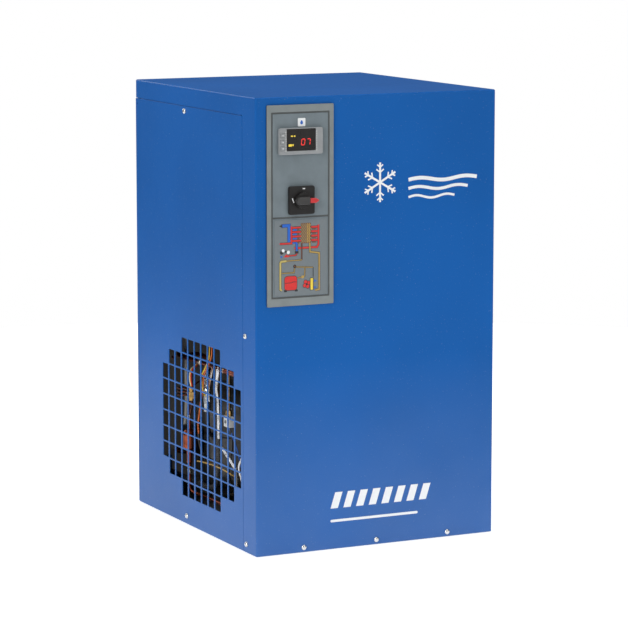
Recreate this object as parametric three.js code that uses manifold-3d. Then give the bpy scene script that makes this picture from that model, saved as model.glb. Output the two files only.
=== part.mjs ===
// Refrigerated compressed-air dryer in a painted sheet-metal cabinet.
//
// Millimetres, +Z up. The origin is on the floor under the middle of the cabinet. The front faces -Y.
// The lower half holds the refrigeration circuit: compressor, condenser, fan, filter and valves.
// The upper half, above the deck, holds the insulated heat exchanger and the electric box.
import * as THREE from "three";
import { mergeVertices } from "three/addons/utils/BufferGeometryUtils.js";
import Module from "manifold-3d";

const wasm = await Module();
wasm.setup();

// ---- Driving dimensions ----
const WIDTH = 460;
const DEPTH = 515;
const HEIGHT = 784;
const SHEET = 1.5; // panel steel
const PLATE = 2; // base and deck steel
const FIT = 0.3; // gap between pieces that touch
const REACH = 23; // how far the switch handle and the rear ports stand out of the cabinet

const RIGHT = WIDTH / 2;
const BACK = DEPTH / 2;
const FRONT = -BACK;
const BOTH = [-1, 1];

// ---- Cabinet ----
const FOOT = 1; // the panels stop this far above the floor
const RETURN = 52; // how far the front sheet folds back along each side
const BRIM = 33; // how far the top sheet folds down at the sides and back
const SEAM = 1; // visible gap between neighbouring panels
const LIP_OUT = RIGHT - SHEET - FIT; // outer face of the lips that lie behind a neighbour
const LIP_IN = LIP_OUT - SHEET;
const LIP_REACH = 18;
const LIP_TOP = HEIGHT - BRIM - LIP_REACH; // lowest edge of the top sheet's lips
const PANEL_TOP = HEIGHT - BRIM - SEAM;
const PANEL_FRONT = FRONT + RETURN + SEAM;
const PANEL_BACK = BACK - SHEET - 0.5;
const INNER_LOW = 36; // lowest edge of the panels' folded flanges, above the base
const INNER_HIGH = LIP_TOP - 5;

const BASE_TOP = 32;
const BASE_GAP = 0.5; // between the base's walls and the panels
const BASE_X = RIGHT - SHEET - BASE_GAP;
const BASE_Y = BACK - SHEET - BASE_GAP;
const BASE_FLANGE = 24;
const ANCHOR = { x: 214, y: 200, radius: 4.5 };

const DECK_TOP = 402;
const DECK_X = 224;
const DECK_FRONT = -252;
const DECK_BACK = BACK - SHEET - FIT;
const POST = 24; // leg of the angle steel posts under the deck

// Ventilation grille in each side panel: rows of upright slots that step in to follow the fan's circle.
const SLOT = { wide: 24, high: 26.2, pitchY: 28.5, pitchZ: 28.9 };
const SLOT_ROWS = [6, 10, 12, 12, 12, 12, 12, 12, 10, 6];
const FAN_Y = -27;
const FAN_Z = 193.7;

// ---- Front controls ----
const CONTROL_X = -147.5;
const PANEL = { halfWidth: 62.3, low: 429.8, high: 770.3, thick: 3 };
const PANEL_FACE = FRONT - FIT - PANEL.thick;
const ON_PANEL = PANEL_FACE - FIT; // where pieces that sit on the control panel begin
const FIELD = { halfWidth: 54.6, low: 443.3, high: 758.3, divider: 580.4, groove: 3, depth: 1 };
const CONTROLLER_X = CONTROL_X - 1.5;
const BEZEL = { halfWidth: 40.6, low: 686.8, high: 731.6, thick: 6 };
const CASE = { halfWidth: 35, low: 691, high: 725, back: -205 };
const LENS = { halfWidth: 26.8, low: 693.3, high: 730, thick: 1.5 };
const KEY = { wide: 8, high: 6, travel: 0.8, proud: 1, x: CONTROLLER_X - 34.3, z: [719.5, 708.5, 697.5] };
const SWITCH_Z = 609.3;
const SWITCH = {
  plate: 24, corner: 3, thick: 6, spindle: 4, dial: 14, dialThick: 5.7,
  grip: 6.5, gripThick: 7.4, tail: 15.5, nose: 9.3, tip: 25.6, pointer: 4, point: 1.4,
};
const BOX = { left: -220, right: -72, front: -255, back: -120, low: 424, high: 766 };

// ---- Refrigeration ----
const COMPRESSOR = { x: -88, y: 118, radius: 80, oval: 1.12, wall: 3, low: 50.3, seam: 140, top: 232 };
const COIL = { left: 174, right: 216, front: -186, back: 132, low: 34.1, high: 348.2, tube: 4.75 };
const COIL_PASSES = 8;
const COIL_PITCH = 38;
const COIL_X = (COIL.left + COIL.right) / 2;
const COIL_Z0 = (COIL.low + COIL.high - (COIL_PASSES - 1) * COIL_PITCH) / 2;
const COIL_Z1 = COIL_Z0 + (COIL_PASSES - 1) * COIL_PITCH;
const STUB_Y = -208; // where the coil's two ends meet the copper lines
const SHROUD = { face: 126, collar: 110, bore: 131 };
const FAN = { tip: 124, hub: 35, blades: 5, guard: 97, motor: 40 };
const DISCHARGE = { x: -190, z: 288, radius: 5 };
const PRESSURE_SWITCH = { y: -59.5, low: 190, high: 210, halfX: 6, halfY: 11, button: 3 };
const HOT_GAS_Z = 262;
const FILTER = { x: -205, y: 80, radius: 12, low: 85, high: 190 };
const EVAPORATOR = { inX: -30, outX: 30, z: 470, y: 48 };
const SUCTION_R = 7.5;
const INLET_R = 4;

// ---- Air side ----
const CORE = { x: 60, front: 90, back: 210, low: 419, high: 709 };
const FOAM = 15.5;
const PORT = { x: 38, z: 670, radius: 17, bore: 12.4, nut: 22 };
const DRAIN = { x: 0, y: 120, z: 356 };
const HOSE = { x: -185, z: 62, radius: 5 };
const GLAND = { x: 150, z: 470, thread: 8, bore: 5.2 };

// ---- Shape helpers ----

// A closed three.js geometry as a solid that can be cut and joined.
function solid(shape) {
  const bare = shape.index ? shape.toNonIndexed() : shape.clone();
  for (const name of Object.keys(bare.attributes)) {
    if (name !== "position") bare.deleteAttribute(name);
  }
  const merged = mergeVertices(bare, 1e-4);
  const corners = [];
  for (let i = 0; i < merged.index.count; i += 3) {
    const [a, b, c] = merged.index.array.slice(i, i + 3);
    if (a !== b && b !== c && a !== c) corners.push(a, b, c);
  }
  const vertProperties = merged.attributes.position.array;
  const triVerts = new Uint32Array(corners);
  return new wasm.Manifold(new wasm.Mesh({ numProp: 3, vertProperties, triVerts }));
}

const joined = (...pieces) => pieces.reduce((a, b) => a.add(b));
const cut = (body, ...tools) => tools.reduce((a, b) => a.subtract(b), body);
const around = (centre, half) => [centre - half, centre + half];
const onSide = (side, near, far) => [side * near, side * far];

// A box between two values on each axis.
function block([x0, x1], [y0, y1], [z0, z1]) {
  const box = new THREE.BoxGeometry(Math.abs(x1 - x0), Math.abs(y1 - y0), Math.abs(z1 - z0));
  return solid(box.translate((x0 + x1) / 2, (y0 + y1) / 2, (z0 + z1) / 2));
}

// A cylinder or cone along an axis. The centre is its place on the other two axes, in x, y, z order.
function rod(axis, radius, [from, to], [u, v], sides = 12, endRadius = radius) {
  const made = new THREE.CylinderGeometry(endRadius, radius, to - from, sides);
  const middle = (from + to) / 2;
  if (axis === "x") made.rotateZ(-Math.PI / 2).translate(middle, u, v);
  if (axis === "y") made.translate(u, middle, v);
  if (axis === "z") made.rotateX(Math.PI / 2).translate(u, v, middle);
  return solid(made);
}

// A profile of [radius, height] points turned about Z.
function turned(profile, sides) {
  const points = profile.map(([radius, height]) => new THREE.Vector2(radius, height));
  return solid(new THREE.LatheGeometry(points, sides).rotateX(Math.PI / 2));
}

// A flat outline of [x, z] points given a thickness along Y.
function slab(outline, [from, to]) {
  const shape = new THREE.Shape(outline.map(([x, z]) => new THREE.Vector2(x, z)));
  const made = new THREE.ExtrudeGeometry(shape, { depth: to - from, bevelEnabled: false });
  return solid(made.rotateX(Math.PI / 2).translate(0, to, 0));
}

// A square outline with rounded corners, as [x, z] points.
function roundedSquare(centreX, centreZ, half, corner, stepsPerCorner = 3) {
  const points = [];
  for (let quarter = 0; quarter < 4; quarter++) {
    const [sx, sz] = [[1, 1], [-1, 1], [-1, -1], [1, -1]][quarter];
    for (let step = 0; step <= stepsPerCorner; step++) {
      const angle = (Math.PI / 2) * (quarter + step / stepsPerCorner);
      const x = centreX + sx * (half - corner) + corner * Math.cos(angle);
      points.push([x, centreZ + sz * (half - corner) + corner * Math.sin(angle)]);
    }
  }
  return points;
}

// A pipe's centreline: straight runs with rounded bends, sampled only where it turns.
class PipeRun extends THREE.Curve {
  constructor(points, bend, stepsPerBend = 4) {
    super();
    const corners = points.map((p) => new THREE.Vector3(...p));
    this.stations = [corners[0]];
    for (let i = 1; i < corners.length - 1; i++) {
      const back = corners[i - 1].clone().sub(corners[i]);
      const ahead = corners[i + 1].clone().sub(corners[i]);
      const reach = Math.min(bend, back.length() * 0.45, ahead.length() * 0.45);
      const start = corners[i].clone().add(back.setLength(reach));
      const end = corners[i].clone().add(ahead.setLength(reach));
      const curve = new THREE.QuadraticBezierCurve3(start, corners[i], end);
      this.stations.push(...curve.getPoints(stepsPerBend));
    }
    this.stations.push(corners.at(-1));
  }
  get steps() {
    return this.stations.length - 1;
  }
  getPoint(t) {
    return this.stations[Math.round(t * this.steps)].clone();
  }
  getSpacedPoints() {
    return this.stations;
  }
  getTangentAt(t) {
    const i = Math.round(t * this.steps);
    const along = new THREE.Vector3();
    if (i > 0) along.add(this.stations[i].clone().sub(this.stations[i - 1]).normalize());
    if (i < this.steps) along.add(this.stations[i + 1].clone().sub(this.stations[i]).normalize());
    return along.normalize();
  }
}

// A round bar that follows a centreline.
function bar(run, radius, sides = 8) {
  const section = new THREE.Shape();
  for (let i = 0; i < sides; i++) {
    const angle = (2 * Math.PI * i) / sides;
    const [x, y] = [radius * Math.cos(angle), radius * Math.sin(angle)];
    if (i === 0) section.moveTo(x, y);
    else section.lineTo(x, y);
  }
  return solid(new THREE.ExtrudeGeometry(section, { steps: run.steps, extrudePath: run }));
}

const pipe = (points, radius, bend = 22, sides = 8) => bar(new PipeRun(points, bend), radius, sides);

// ---- Materials ----
const finish = (color, roughness, metalness) =>
  new THREE.MeshStandardMaterial({ color, roughness, metalness });
const BLUE = finish(0x1f5aa8, 0.45, 0);
const ZINC = finish(0xb9bdc0, 0.4, 0.8);
const SCREW_STEEL = finish(0xd4d6d6, 0.3, 0.9);
const GREY = finish(0x757f83, 0.6, 0);
const LABEL = finish(0x7c878a, 0.5, 0);
const BEZEL_GREY = finish(0x8f9090, 0.55, 0);
const DARK = finish(0x353433, 0.5, 0);
const BLACK = finish(0x2a2827, 0.5, 0);
const RED = finish(0xc23434, 0.45, 0);
const SMOKED = finish(0x1c1a19, 0.15, 0);
const BLACK_PAINT = finish(0x1b1b1c, 0.4, 0);
const COPPER = finish(0xb5653a, 0.35, 0.9);
const BRASS = finish(0xb99a55, 0.35, 0.9);
const ALUMINIUM = finish(0xc3c6c8, 0.4, 0.9);
const FOAM_BLACK = finish(0x262729, 0.95, 0);
const WHITE = finish(0xe4e6e6, 0.5, 0);
const RUBBER = finish(0x303132, 0.7, 0);
const STEEL = finish(0x8d9194, 0.4, 0.8);

const dryer = new THREE.Group();

function add(name, body, material, group = dryer) {
  const { vertProperties, triVerts } = body.getMesh();
  const shape = new THREE.BufferGeometry();
  shape.setAttribute("position", new THREE.BufferAttribute(vertProperties, 3));
  shape.setIndex(new THREE.BufferAttribute(triVerts, 1));
  const mesh = new THREE.Mesh(shape, material);
  mesh.name = name;
  group.add(mesh);
  return mesh;
}

function groupAt(x, y, z) {
  const group = new THREE.Group();
  group.position.set(x, y, z);
  dryer.add(group);
  return group;
}

// ---- Screws: pan heads outside the sheet, shanks through it ----
const SCREW = { head: 4.8, proud: 3.4, shank: 2, hole: 2.6, length: 8 };
const FRONT_SCREW_X = [-140, 0, 140];
const FRONT_SCREW_Z = 9;
const SIDE_SCREWS = [[36, 741.5], [36, 15.4], [-216, 376], [-218, 15.4]]; // y, z

function screws() {
  const profile = [
    [0, -SCREW.length],
    [SCREW.shank, -SCREW.length],
    [SCREW.shank, FIT],
    [SCREW.head, FIT],
    [SCREW.head * 0.8, SCREW.proud * 0.8],
    [0, SCREW.proud],
  ];
  const body = turned(profile, 10);
  FRONT_SCREW_X.forEach((x, i) => {
    const mesh = add(`front_screw_${i + 1}`, body, SCREW_STEEL);
    mesh.position.set(x, FRONT, FRONT_SCREW_Z);
    mesh.rotation.x = Math.PI / 2;
  });
  SIDE_SCREWS.forEach(([y, z], i) => {
    const mesh = add(`left_screw_${i + 1}`, body, SCREW_STEEL);
    mesh.position.set(-RIGHT, y, z);
    mesh.rotation.y = -Math.PI / 2;
  });
}

// Every hole that a screw's shank passes, through both layers of sheet.
function screwHoles() {
  const deep = 12;
  const front = FRONT_SCREW_X.map((x) =>
    rod("y", SCREW.hole, [FRONT - 1, FRONT + deep], [x, FRONT_SCREW_Z], 8));
  const left = SIDE_SCREWS.map((place) =>
    rod("x", SCREW.hole, [-RIGHT - 1, -RIGHT + deep], place, 8));
  return [...front, ...left];
}

// ---- Cabinet pieces ----

// One folded sheet: the front, the top, and the edges folded back along the sides.
function frontTopCover() {
  const outer = joined(
    block(around(0, RIGHT), [FRONT, FRONT + RETURN], [FOOT, HEIGHT]),
    block(around(0, RIGHT), [FRONT, BACK], [HEIGHT - BRIM, HEIGHT]),
  );
  const inner = block(
    around(0, RIGHT - SHEET), [FRONT + SHEET, BACK - SHEET], [FOOT - 1, HEIGHT - SHEET]);
  const window = block(
    around(CONTROL_X, FIELD.halfWidth - 1), [FRONT - 1, FRONT + 3], [FIELD.low, FIELD.high]);
  const folded = cut(outer, inner, window);

  // The brim's lower edge steps inwards and goes on down behind the panels.
  const stepZ = [HEIGHT - BRIM, HEIGHT - BRIM + SHEET];
  const lips = [];
  for (const side of BOTH) {
    lips.push(block(onSide(side, LIP_IN, RIGHT - SHEET / 2), [-198, 235], stepZ));
    lips.push(block(onSide(side, LIP_IN, LIP_OUT), [-198, 235], [LIP_TOP, stepZ[1]]));
  }
  const backLip = BACK - SHEET - FIT;
  lips.push(block(around(0, 215), [backLip - SHEET, BACK - SHEET / 2], stepZ));
  lips.push(block(around(0, 215), [backLip - SHEET, backLip], [LIP_TOP, stepZ[1]]));
  return cut(joined(folded, ...lips), ...screwHoles());
}

// The slots' centres, as [y, z], top row first.
function slotCentres() {
  const centres = [];
  SLOT_ROWS.forEach((count, row) => {
    const z = FAN_Z + ((SLOT_ROWS.length - 1) / 2 - row) * SLOT.pitchZ;
    for (let i = 0; i < count; i++) centres.push([FAN_Y + ((count - 1) / 2 - i) * SLOT.pitchY, z]);
  });
  return centres;
}

function sidePanel(side) {
  const skin = onSide(side, RIGHT - SHEET, RIGHT);
  const stepY = [PANEL_FRONT, PANEL_FRONT + SHEET];
  const innerZ = [INNER_LOW, INNER_HIGH];
  const panel = joined(
    block(skin, [PANEL_FRONT, PANEL_BACK], [FOOT, PANEL_TOP]),
    block(onSide(side, LIP_IN, RIGHT - SHEET / 2), stepY, innerZ),
    block(onSide(side, LIP_IN, LIP_OUT), [PANEL_FRONT - 21.5, stepY[1]], innerZ),
  );
  const through = onSide(side, RIGHT - 5, RIGHT + 5);
  const slots = slotCentres().map(([y, z]) =>
    block(through, around(y, SLOT.wide / 2), around(z, SLOT.high / 2)));
  return cut(panel, ...slots, ...(side < 0 ? screwHoles() : []));
}

function backPanel() {
  const parts = [block(around(0, RIGHT), [BACK - SHEET, BACK], [FOOT, PANEL_TOP])];
  for (const side of BOTH) {
    const flange = onSide(side, LIP_IN, LIP_OUT);
    parts.push(block(flange, [BACK - 18, BACK - SHEET / 2], [INNER_LOW, INNER_HIGH]));
  }
  const through = [BACK - 5, BACK + 5];
  const holes = BOTH.map((side) => rod("y", PORT.radius + 1.5, through, [side * PORT.x, PORT.z], 16));
  holes.push(rod("y", GLAND.thread + 0.8, through, [GLAND.x, GLAND.z], 12));
  holes.push(rod("y", 7.8, through, [HOSE.x, HOSE.z], 12));
  const slots = { count: 6, low: 500, pitch: 22, high: 7, x: [-190, -90] };
  for (let i = 0; i < slots.count; i++) {
    const low = slots.low + i * slots.pitch;
    holes.push(block(slots.x, through, [low, low + slots.high]));
  }
  return cut(joined(...parts), ...holes);
}

// A tray turned upside down. Its folded-in flange is what stands on the floor.
function basePan() {
  const shell = block(around(0, BASE_X), around(0, BASE_Y), [0, BASE_TOP]);
  const hollow = block(
    around(0, BASE_X - PLATE), around(0, BASE_Y - PLATE), [PLATE, BASE_TOP - PLATE]);
  const mouth = block(around(0, BASE_X - BASE_FLANGE), around(0, BASE_Y - BASE_FLANGE), [-1, 5]);
  const anchors = BOTH.flatMap((sx) => BOTH.map((sy) =>
    rod("z", ANCHOR.radius, [-1, 5], [sx * ANCHOR.x, sy * ANCHOR.y], 8)));
  return cut(shell, hollow, mouth, ...anchors, ...screwHoles());
}

// The deck between the two compartments, with its folded edges and the two angle posts it stands on.
function innerFrame() {
  const parts = [
    block(around(0, DECK_X), [DECK_FRONT, DECK_BACK], [DECK_TOP - PLATE, DECK_TOP]),
    block(around(0, DECK_X), [DECK_FRONT, DECK_FRONT + PLATE], [DECK_TOP - 22, DECK_TOP]),
    block(around(0, DECK_X), [DECK_BACK - PLATE, DECK_BACK], [DECK_TOP - 22, DECK_TOP]),
  ];
  const postZ = [BASE_TOP + FIT, DECK_TOP];
  const outer = DECK_X - 2;
  for (const side of BOTH) {
    const legY = [DECK_FRONT, DECK_FRONT + POST];
    parts.push(block(onSide(side, outer - PLATE, outer), legY, postZ));
    parts.push(block(onSide(side, outer - POST, outer), [DECK_FRONT, DECK_FRONT + PLATE], postZ));
  }
  const pass = [DECK_TOP - 10, DECK_TOP + 10];
  const holes = [
    rod("z", SUCTION_R + 3, pass, [EVAPORATOR.outX, EVAPORATOR.y], 12),
    rod("z", INLET_R + 3, pass, [EVAPORATOR.inX, EVAPORATOR.y], 12),
    rod("z", 11, pass, [DRAIN.x, DRAIN.y], 12),
  ];
  return cut(joined(...parts), ...holes);
}

// ---- Front controls ----

function controlPanel() {
  const { groove, depth, low, high, divider, halfWidth } = FIELD;
  const board = block(
    around(CONTROL_X, PANEL.halfWidth), [PANEL_FACE, FRONT - FIT], [PANEL.low, PANEL.high]);
  const cutY = [PANEL_FACE - 1, PANEL_FACE + depth];
  const inside = around(CONTROL_X, halfWidth - groove);
  const grooves = cut(
    block(around(CONTROL_X, halfWidth), cutY, [low, high]),
    block(inside, [cutY[0] - 1, cutY[1] + 1], [low + groove, divider - groove / 2]),
    block(inside, [cutY[0] - 1, cutY[1] + 1], [divider + groove / 2, high - groove]),
  );
  const through = [PANEL_FACE - 1, FRONT + 1];
  const caseHole = block(
    around(CONTROL_X, CASE.halfWidth + 0.6), through, [CASE.low - 0.6, CASE.high + 0.6]);
  return cut(board, grooves, caseHole, rod("y", 8, through, [CONTROL_X, SWITCH_Z], 16));
}

function controllerHousing() {
  const face = ON_PANEL - BEZEL.thick;
  const body = joined(
    block(around(CONTROLLER_X, BEZEL.halfWidth), [face, ON_PANEL], [BEZEL.low, BEZEL.high]),
    block(around(CONTROL_X, CASE.halfWidth), [ON_PANEL - 1, CASE.back], [CASE.low, CASE.high]),
  );
  const window = block(
    around(CONTROLLER_X, LENS.halfWidth + FIT),
    [face - 1, face + LENS.thick + FIT],
    [LENS.low - FIT, LENS.high + FIT],
  );
  const pockets = KEY.z.map((z) => block(
    around(KEY.x, KEY.wide / 2 + FIT), [face - 1, face + 4.5], around(z, KEY.high / 2 + FIT)));
  return cut(body, window, ...pockets);
}

// A key's back stays clear of its pocket's floor by its travel and a little more.
function key(z) {
  const face = ON_PANEL - BEZEL.thick;
  return block(
    around(KEY.x, KEY.wide / 2), [face - KEY.proud, face + 4.5 - KEY.travel - FIT],
    around(z, KEY.high / 2));
}

function mainSwitch() {
  const group = groupAt(CONTROL_X, ON_PANEL, SWITCH_Z);
  const { plate, corner, thick, spindle, dial, grip, tail, nose, tip, pointer, point } = SWITCH;
  const bore = rod("y", 6, [-thick - 1, 1], [0, 0], 16);
  add("switch_plate", cut(slab(roundedSquare(0, 0, plate, corner), [-thick, 0]), bore), BLACK, group);

  const dialBack = -thick - FIT;
  const dialTop = dialBack - SWITCH.dialThick;
  const gripTop = dialTop - SWITCH.gripThick;
  const gripY = [gripTop, dialTop + 1];
  const knob = joined(
    rod("y", dial, [dialTop, dialBack], [0, 0], 20),
    rod("y", grip, gripY, [grip - tail, 0], 16),
    block([grip - tail, nose], gripY, around(0, grip)),
    rod("y", spindle, [dialBack - 1, 22], [0, 0], 12),
  );
  add("switch_handle", knob, DARK, group);
  const root = nose + FIT;
  const shoulder = tip - 5;
  const arrow = [
    [root, -pointer], [shoulder, -pointer], [tip, -point],
    [tip, point], [shoulder, pointer], [root, pointer],
  ];
  add("switch_pointer", slab(arrow, [gripTop + 0.8, dialTop - FIT]), RED, group);

  const inside = FRONT - ON_PANEL;
  const housing = block(around(0, 22), [inside, inside + 45], around(0, 22));
  add("switch_body", cut(housing, rod("y", 4.7, [inside - 1, 24], [0, 0], 12)), GREY, group);
}

// ---- Electric box ----

function electricBox() {
  const shell = block([BOX.left, BOX.right], [BOX.front, BOX.back], [BOX.low, BOX.high]);
  const hollow = block(
    [BOX.left + SHEET, BOX.right - SHEET],
    [BOX.front - 1, BOX.back - SHEET],
    [BOX.low + SHEET, BOX.high - SHEET],
  );
  return cut(shell, hollow);
}

function terminalBlock() {
  const back = BOX.back - SHEET - FIT;
  const rail = { x: [-200, -95], z: [470, 496], ways: 7 };
  const pitch = (rail.x[1] - rail.x[0]) / rail.ways;
  const slots = [];
  const tall = [rail.z[0] - 1, rail.z[1] + 1];
  for (let i = 1; i < rail.ways; i++) {
    slots.push(block(around(rail.x[0] + i * pitch, 0.6), [back - 31, back - 8], tall));
  }
  return cut(block(rail.x, [back - 30, back], rail.z), ...slots);
}

function startCapacitor() {
  const wall = BOX.back - SHEET - FIT;
  return joined(
    rod("z", 18, [560, 645], [-180, wall - 22], 16),
    block([-188, -172], [wall - 8, wall], [590, 612]),
  );
}

// ---- Refrigeration ----

function compressor() {
  const { x, y, radius, oval, wall, low, seam, top } = COMPRESSOR;
  const group = groupAt(x, y, 0);
  const lower = [
    [0, low], [radius - 20, low], [radius - 4, low + 11], [radius, low + 28], [radius, seam],
    [radius - wall, seam], [radius - wall, low + 30], [radius - 8, low + 14],
    [radius - 22, low + wall], [0, low + wall],
  ];
  const rim = seam + FIT;
  const upper = [
    [0, top - wall], [radius - 36, top - wall - 4], [radius - 14, top - 23], [radius - wall - 1, top - 48],
    [radius - wall, rim], [radius + 3, rim], [radius + 3, rim + 7], [radius, rim + 8],
    [radius - 1, top - 45], [radius - 12, top - 20], [radius - 35, top - 4], [0, top],
  ];
  add("compressor_lower_shell", turned(lower, 24), BLACK_PAINT, group).scale.y = oval;
  add("compressor_upper_shell", turned(upper, 24), BLACK_PAINT, group).scale.y = oval;
  add("compressor_stator", cut(
    rod("z", 73, [68, 118], [0, 0], 20), rod("z", 50, [60, 130], [0, 0], 20)), STEEL, group);
  add("compressor_rotor", joined(
    rod("z", 48, [70, 116], [0, 0], 20),
    rod("z", 9, [60, 172], [0, 0], 12),
    rod("z", 22, [150, 160], [0, 0], 16),
    rod("z", 6, [171, 188], [3, 0], 10),
  ), STEEL, group);

  // A mounting plate with stepped corners, on four rubber feet.
  const foot = { x: 72, y: 70.2, radius: 13 };
  const plateZ = [47, low - FIT];
  const feet = [[92, 60], [80, 84], [60, 98]].map(([halfX, halfY]) =>
    block(around(0, halfX), around(0, halfY), plateZ));
  for (const sx of BOTH) {
    for (const sy of BOTH) {
      feet.push(rod("z", foot.radius, [BASE_TOP + FIT, plateZ[1]], [sx * foot.x, sy * foot.y], 10));
    }
  }
  add("compressor_feet", joined(...feet), BLACK_PAINT, group);
  const coverX = -radius - 3 - FIT;
  add("compressor_terminal_cover", block([coverX - 19, coverX], around(4, 25), [112, 160]), BLACK, group);
}

// One tube snakes up through the fins. Its return bends stand outside them at both ends.
function condenser() {
  const reach = COIL_PITCH / 2;
  const ends = [COIL.front - 3, COIL.back + 3];
  const points = [[COIL_X, STUB_Y, COIL_Z0]];
  const bores = [];
  for (let pass = 0; pass < COIL_PASSES; pass++) {
    const z = COIL_Z0 + pass * COIL_PITCH;
    bores.push(rod("y", COIL.tube + 0.8, [COIL.front - 1, COIL.back + 1], [COIL_X, z], 8));
    if (pass === COIL_PASSES - 1) break;
    const rear = pass % 2 === 0;
    for (let step = 0; step <= 4; step++) {
      const angle = (Math.PI * step) / 4;
      const out = reach * 0.75 * Math.sin(angle);
      const y = rear ? ends[1] + out : ends[0] - out;
      points.push([COIL_X, y, z + reach - reach * Math.cos(angle)]);
    }
  }
  points.push([COIL_X, STUB_Y, COIL_Z1]);
  add("condenser_tube", bar(new PipeRun(points, 0.2, 1), COIL.tube, 8), COPPER);
  const fins = block([COIL.left, COIL.right], [COIL.front, COIL.back], [COIL.low, COIL.high]);
  add("condenser_fins", cut(fins, ...bores), ALUMINIUM);
}

// A hood round the coil with a collar for the fan.
function fanShroud() {
  const y = [COIL.front, COIL.back];
  const z = [BASE_TOP + FIT, COIL.high + FIT + SHEET];
  const within = ([from, to]) => [from + SHEET, to - SHEET];
  const hood = cut(
    block([SHROUD.face, COIL.left - FIT], y, z),
    block([SHROUD.face + SHEET, COIL.left + 1], within(y), within(z)),
  );
  const shelf = [COIL.left - 1, COIL.right];
  const collar = rod("x", SHROUD.bore + SHEET, [SHROUD.collar, SHROUD.face + SHEET], [FAN_Y, FAN_Z], 32);
  const bore = rod("x", SHROUD.bore, [SHROUD.collar - 1, SHROUD.face + 3], [FAN_Y, FAN_Z], 32);
  return cut(joined(
    hood, block(shelf, y, [z[0], z[0] + SHEET]), block(shelf, y, [z[1] - SHEET, z[1]]), collar), bore);
}

// Rings of wire on bent spokes that end on the shroud's face. The motor hangs in the smallest ring.
function fanGuard() {
  const wire = 1.5;
  const rings = [FAN.motor + 2.4, 81, 120].map((radius) => {
    const outer = rod("x", radius + wire, [-wire, wire], [0, 0], 20);
    return cut(outer, rod("x", radius - wire, [-wire - 1, wire + 1], [0, 0], 20));
  });
  const spokes = [];
  const count = 4;
  for (let i = 0; i < count; i++) {
    const angle = (2 * Math.PI * (i + 0.5)) / count;
    const out = ([x, r]) => [x, r * Math.cos(angle), r * Math.sin(angle)];
    const end = SHROUD.face - FAN.guard - FIT - wire;
    spokes.push(pipe([[0, FAN.motor + 2.4], [0, 128], [end, 141]].map(out), wire, 0.5, 5));
  }
  const group = groupAt(FAN.guard, FAN_Y, FAN_Z);
  add("fan_guard", joined(...rings, ...spokes), ZINC, group);
}

// Angled blades on a hub, with the shaft that runs into the motor.
function fanRotor() {
  const parts = [
    rod("x", FAN.hub, [101, 128], [0, 0], 16),
    rod("x", 4, [95.5, 102], [0, 0], 10),
  ];
  const root = FAN.hub - 3;
  const blade = [[root, -16], [70, -27], [FAN.tip - 10, -34], [FAN.tip - 6, 14], [90, 30], [root, 20]];
  const slope = 0.42;
  for (let i = 0; i < FAN.blades; i++) {
    const outline = new THREE.Shape(blade.map(([r, t]) => new THREE.Vector2(r, t)));
    const made = new THREE.ExtrudeGeometry(outline, { depth: 2, bevelEnabled: false });
    const corners = made.attributes.position;
    for (let k = 0; k < corners.count; k++) {
      const [r, t, thick] = [corners.getX(k), corners.getY(k), corners.getZ(k)];
      corners.setXYZ(k, 118 + thick - slope * t, r, t);
    }
    parts.push(solid(made.rotateX((2 * Math.PI * i) / FAN.blades)));
  }
  return joined(...parts);
}

function filterDryer() {
  const { x, y, radius, low, high } = FILTER;
  const made = turned([
    [0, low], [3.6, low], [3.6, low + 8], [radius, low + 22], [radius, high - 22],
    [3.6, high - 8], [3.6, high], [0, high]], 12);
  const mesh = add("filter_dryer", made, COPPER);
  mesh.position.set(x, y, 0);
}

// A few loose turns of thin tube between the filter and the evaporator's inlet.
function capillaryTube() {
  const turns = 3;
  const perTurn = 8;
  const radius = 15;
  const pitch = 6;
  const low = FILTER.high + 30;
  const middle = [FILTER.x + 2, FILTER.y + 20];
  const points = [[FILTER.x, FILTER.y, FILTER.high + FIT], [FILTER.x, FILTER.y, low - 12]];
  for (let i = 0; i <= turns * perTurn; i++) {
    const angle = -Math.PI / 2 + (2 * Math.PI * i) / perTurn;
    points.push([
      middle[0] + radius * Math.cos(angle),
      middle[1] + radius * Math.sin(angle),
      low + (pitch * i) / perTurn,
    ]);
  }
  const end = [EVAPORATOR.inX - INLET_R - 2.2, EVAPORATOR.y, 372];
  points.push([-160, 84, 262], [-110, 72, 300], [-60, 60, 352], end);
  return bar(new PipeRun(points, 0.2, 1), 1.5, 4);
}

function hotGasValve() {
  const { inX, y } = EVAPORATOR;
  return joined(
    rod("z", 6, [HOT_GAS_Z + 18, 360 - FIT], [inX, y], 10),
    rod("z", 14, [315, 343], [inX, y], 6),
    rod("x", 9, [inX - 34, inX - 8], [y, 329], 10),
  );
}

// Its body hangs on a stem that comes up under the discharge line.
function pressureSwitch() {
  const { x, z, radius } = DISCHARGE;
  const { y, low, high, halfX, halfY, button } = PRESSURE_SWITCH;
  const body = joined(
    block(around(x, halfX), around(y, halfY), [low, high]),
    rod("z", 5.5, [high - 1, high + 10], [x, y], 6),
    rod("z", 3, [high + 9, z - radius - FIT - 0.2], [x, y], 8),
  );
  return cut(body, rod("x", button + 0.5, [x - halfX - 1, x], [y, (low + high) / 2], 10));
}

function resetButton() {
  const { y, low, high, halfX, button } = PRESSURE_SWITCH;
  const left = DISCHARGE.x - halfX;
  return rod("x", button, [left - 2.5, left + 3], [y, (low + high) / 2], 10);
}

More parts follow.
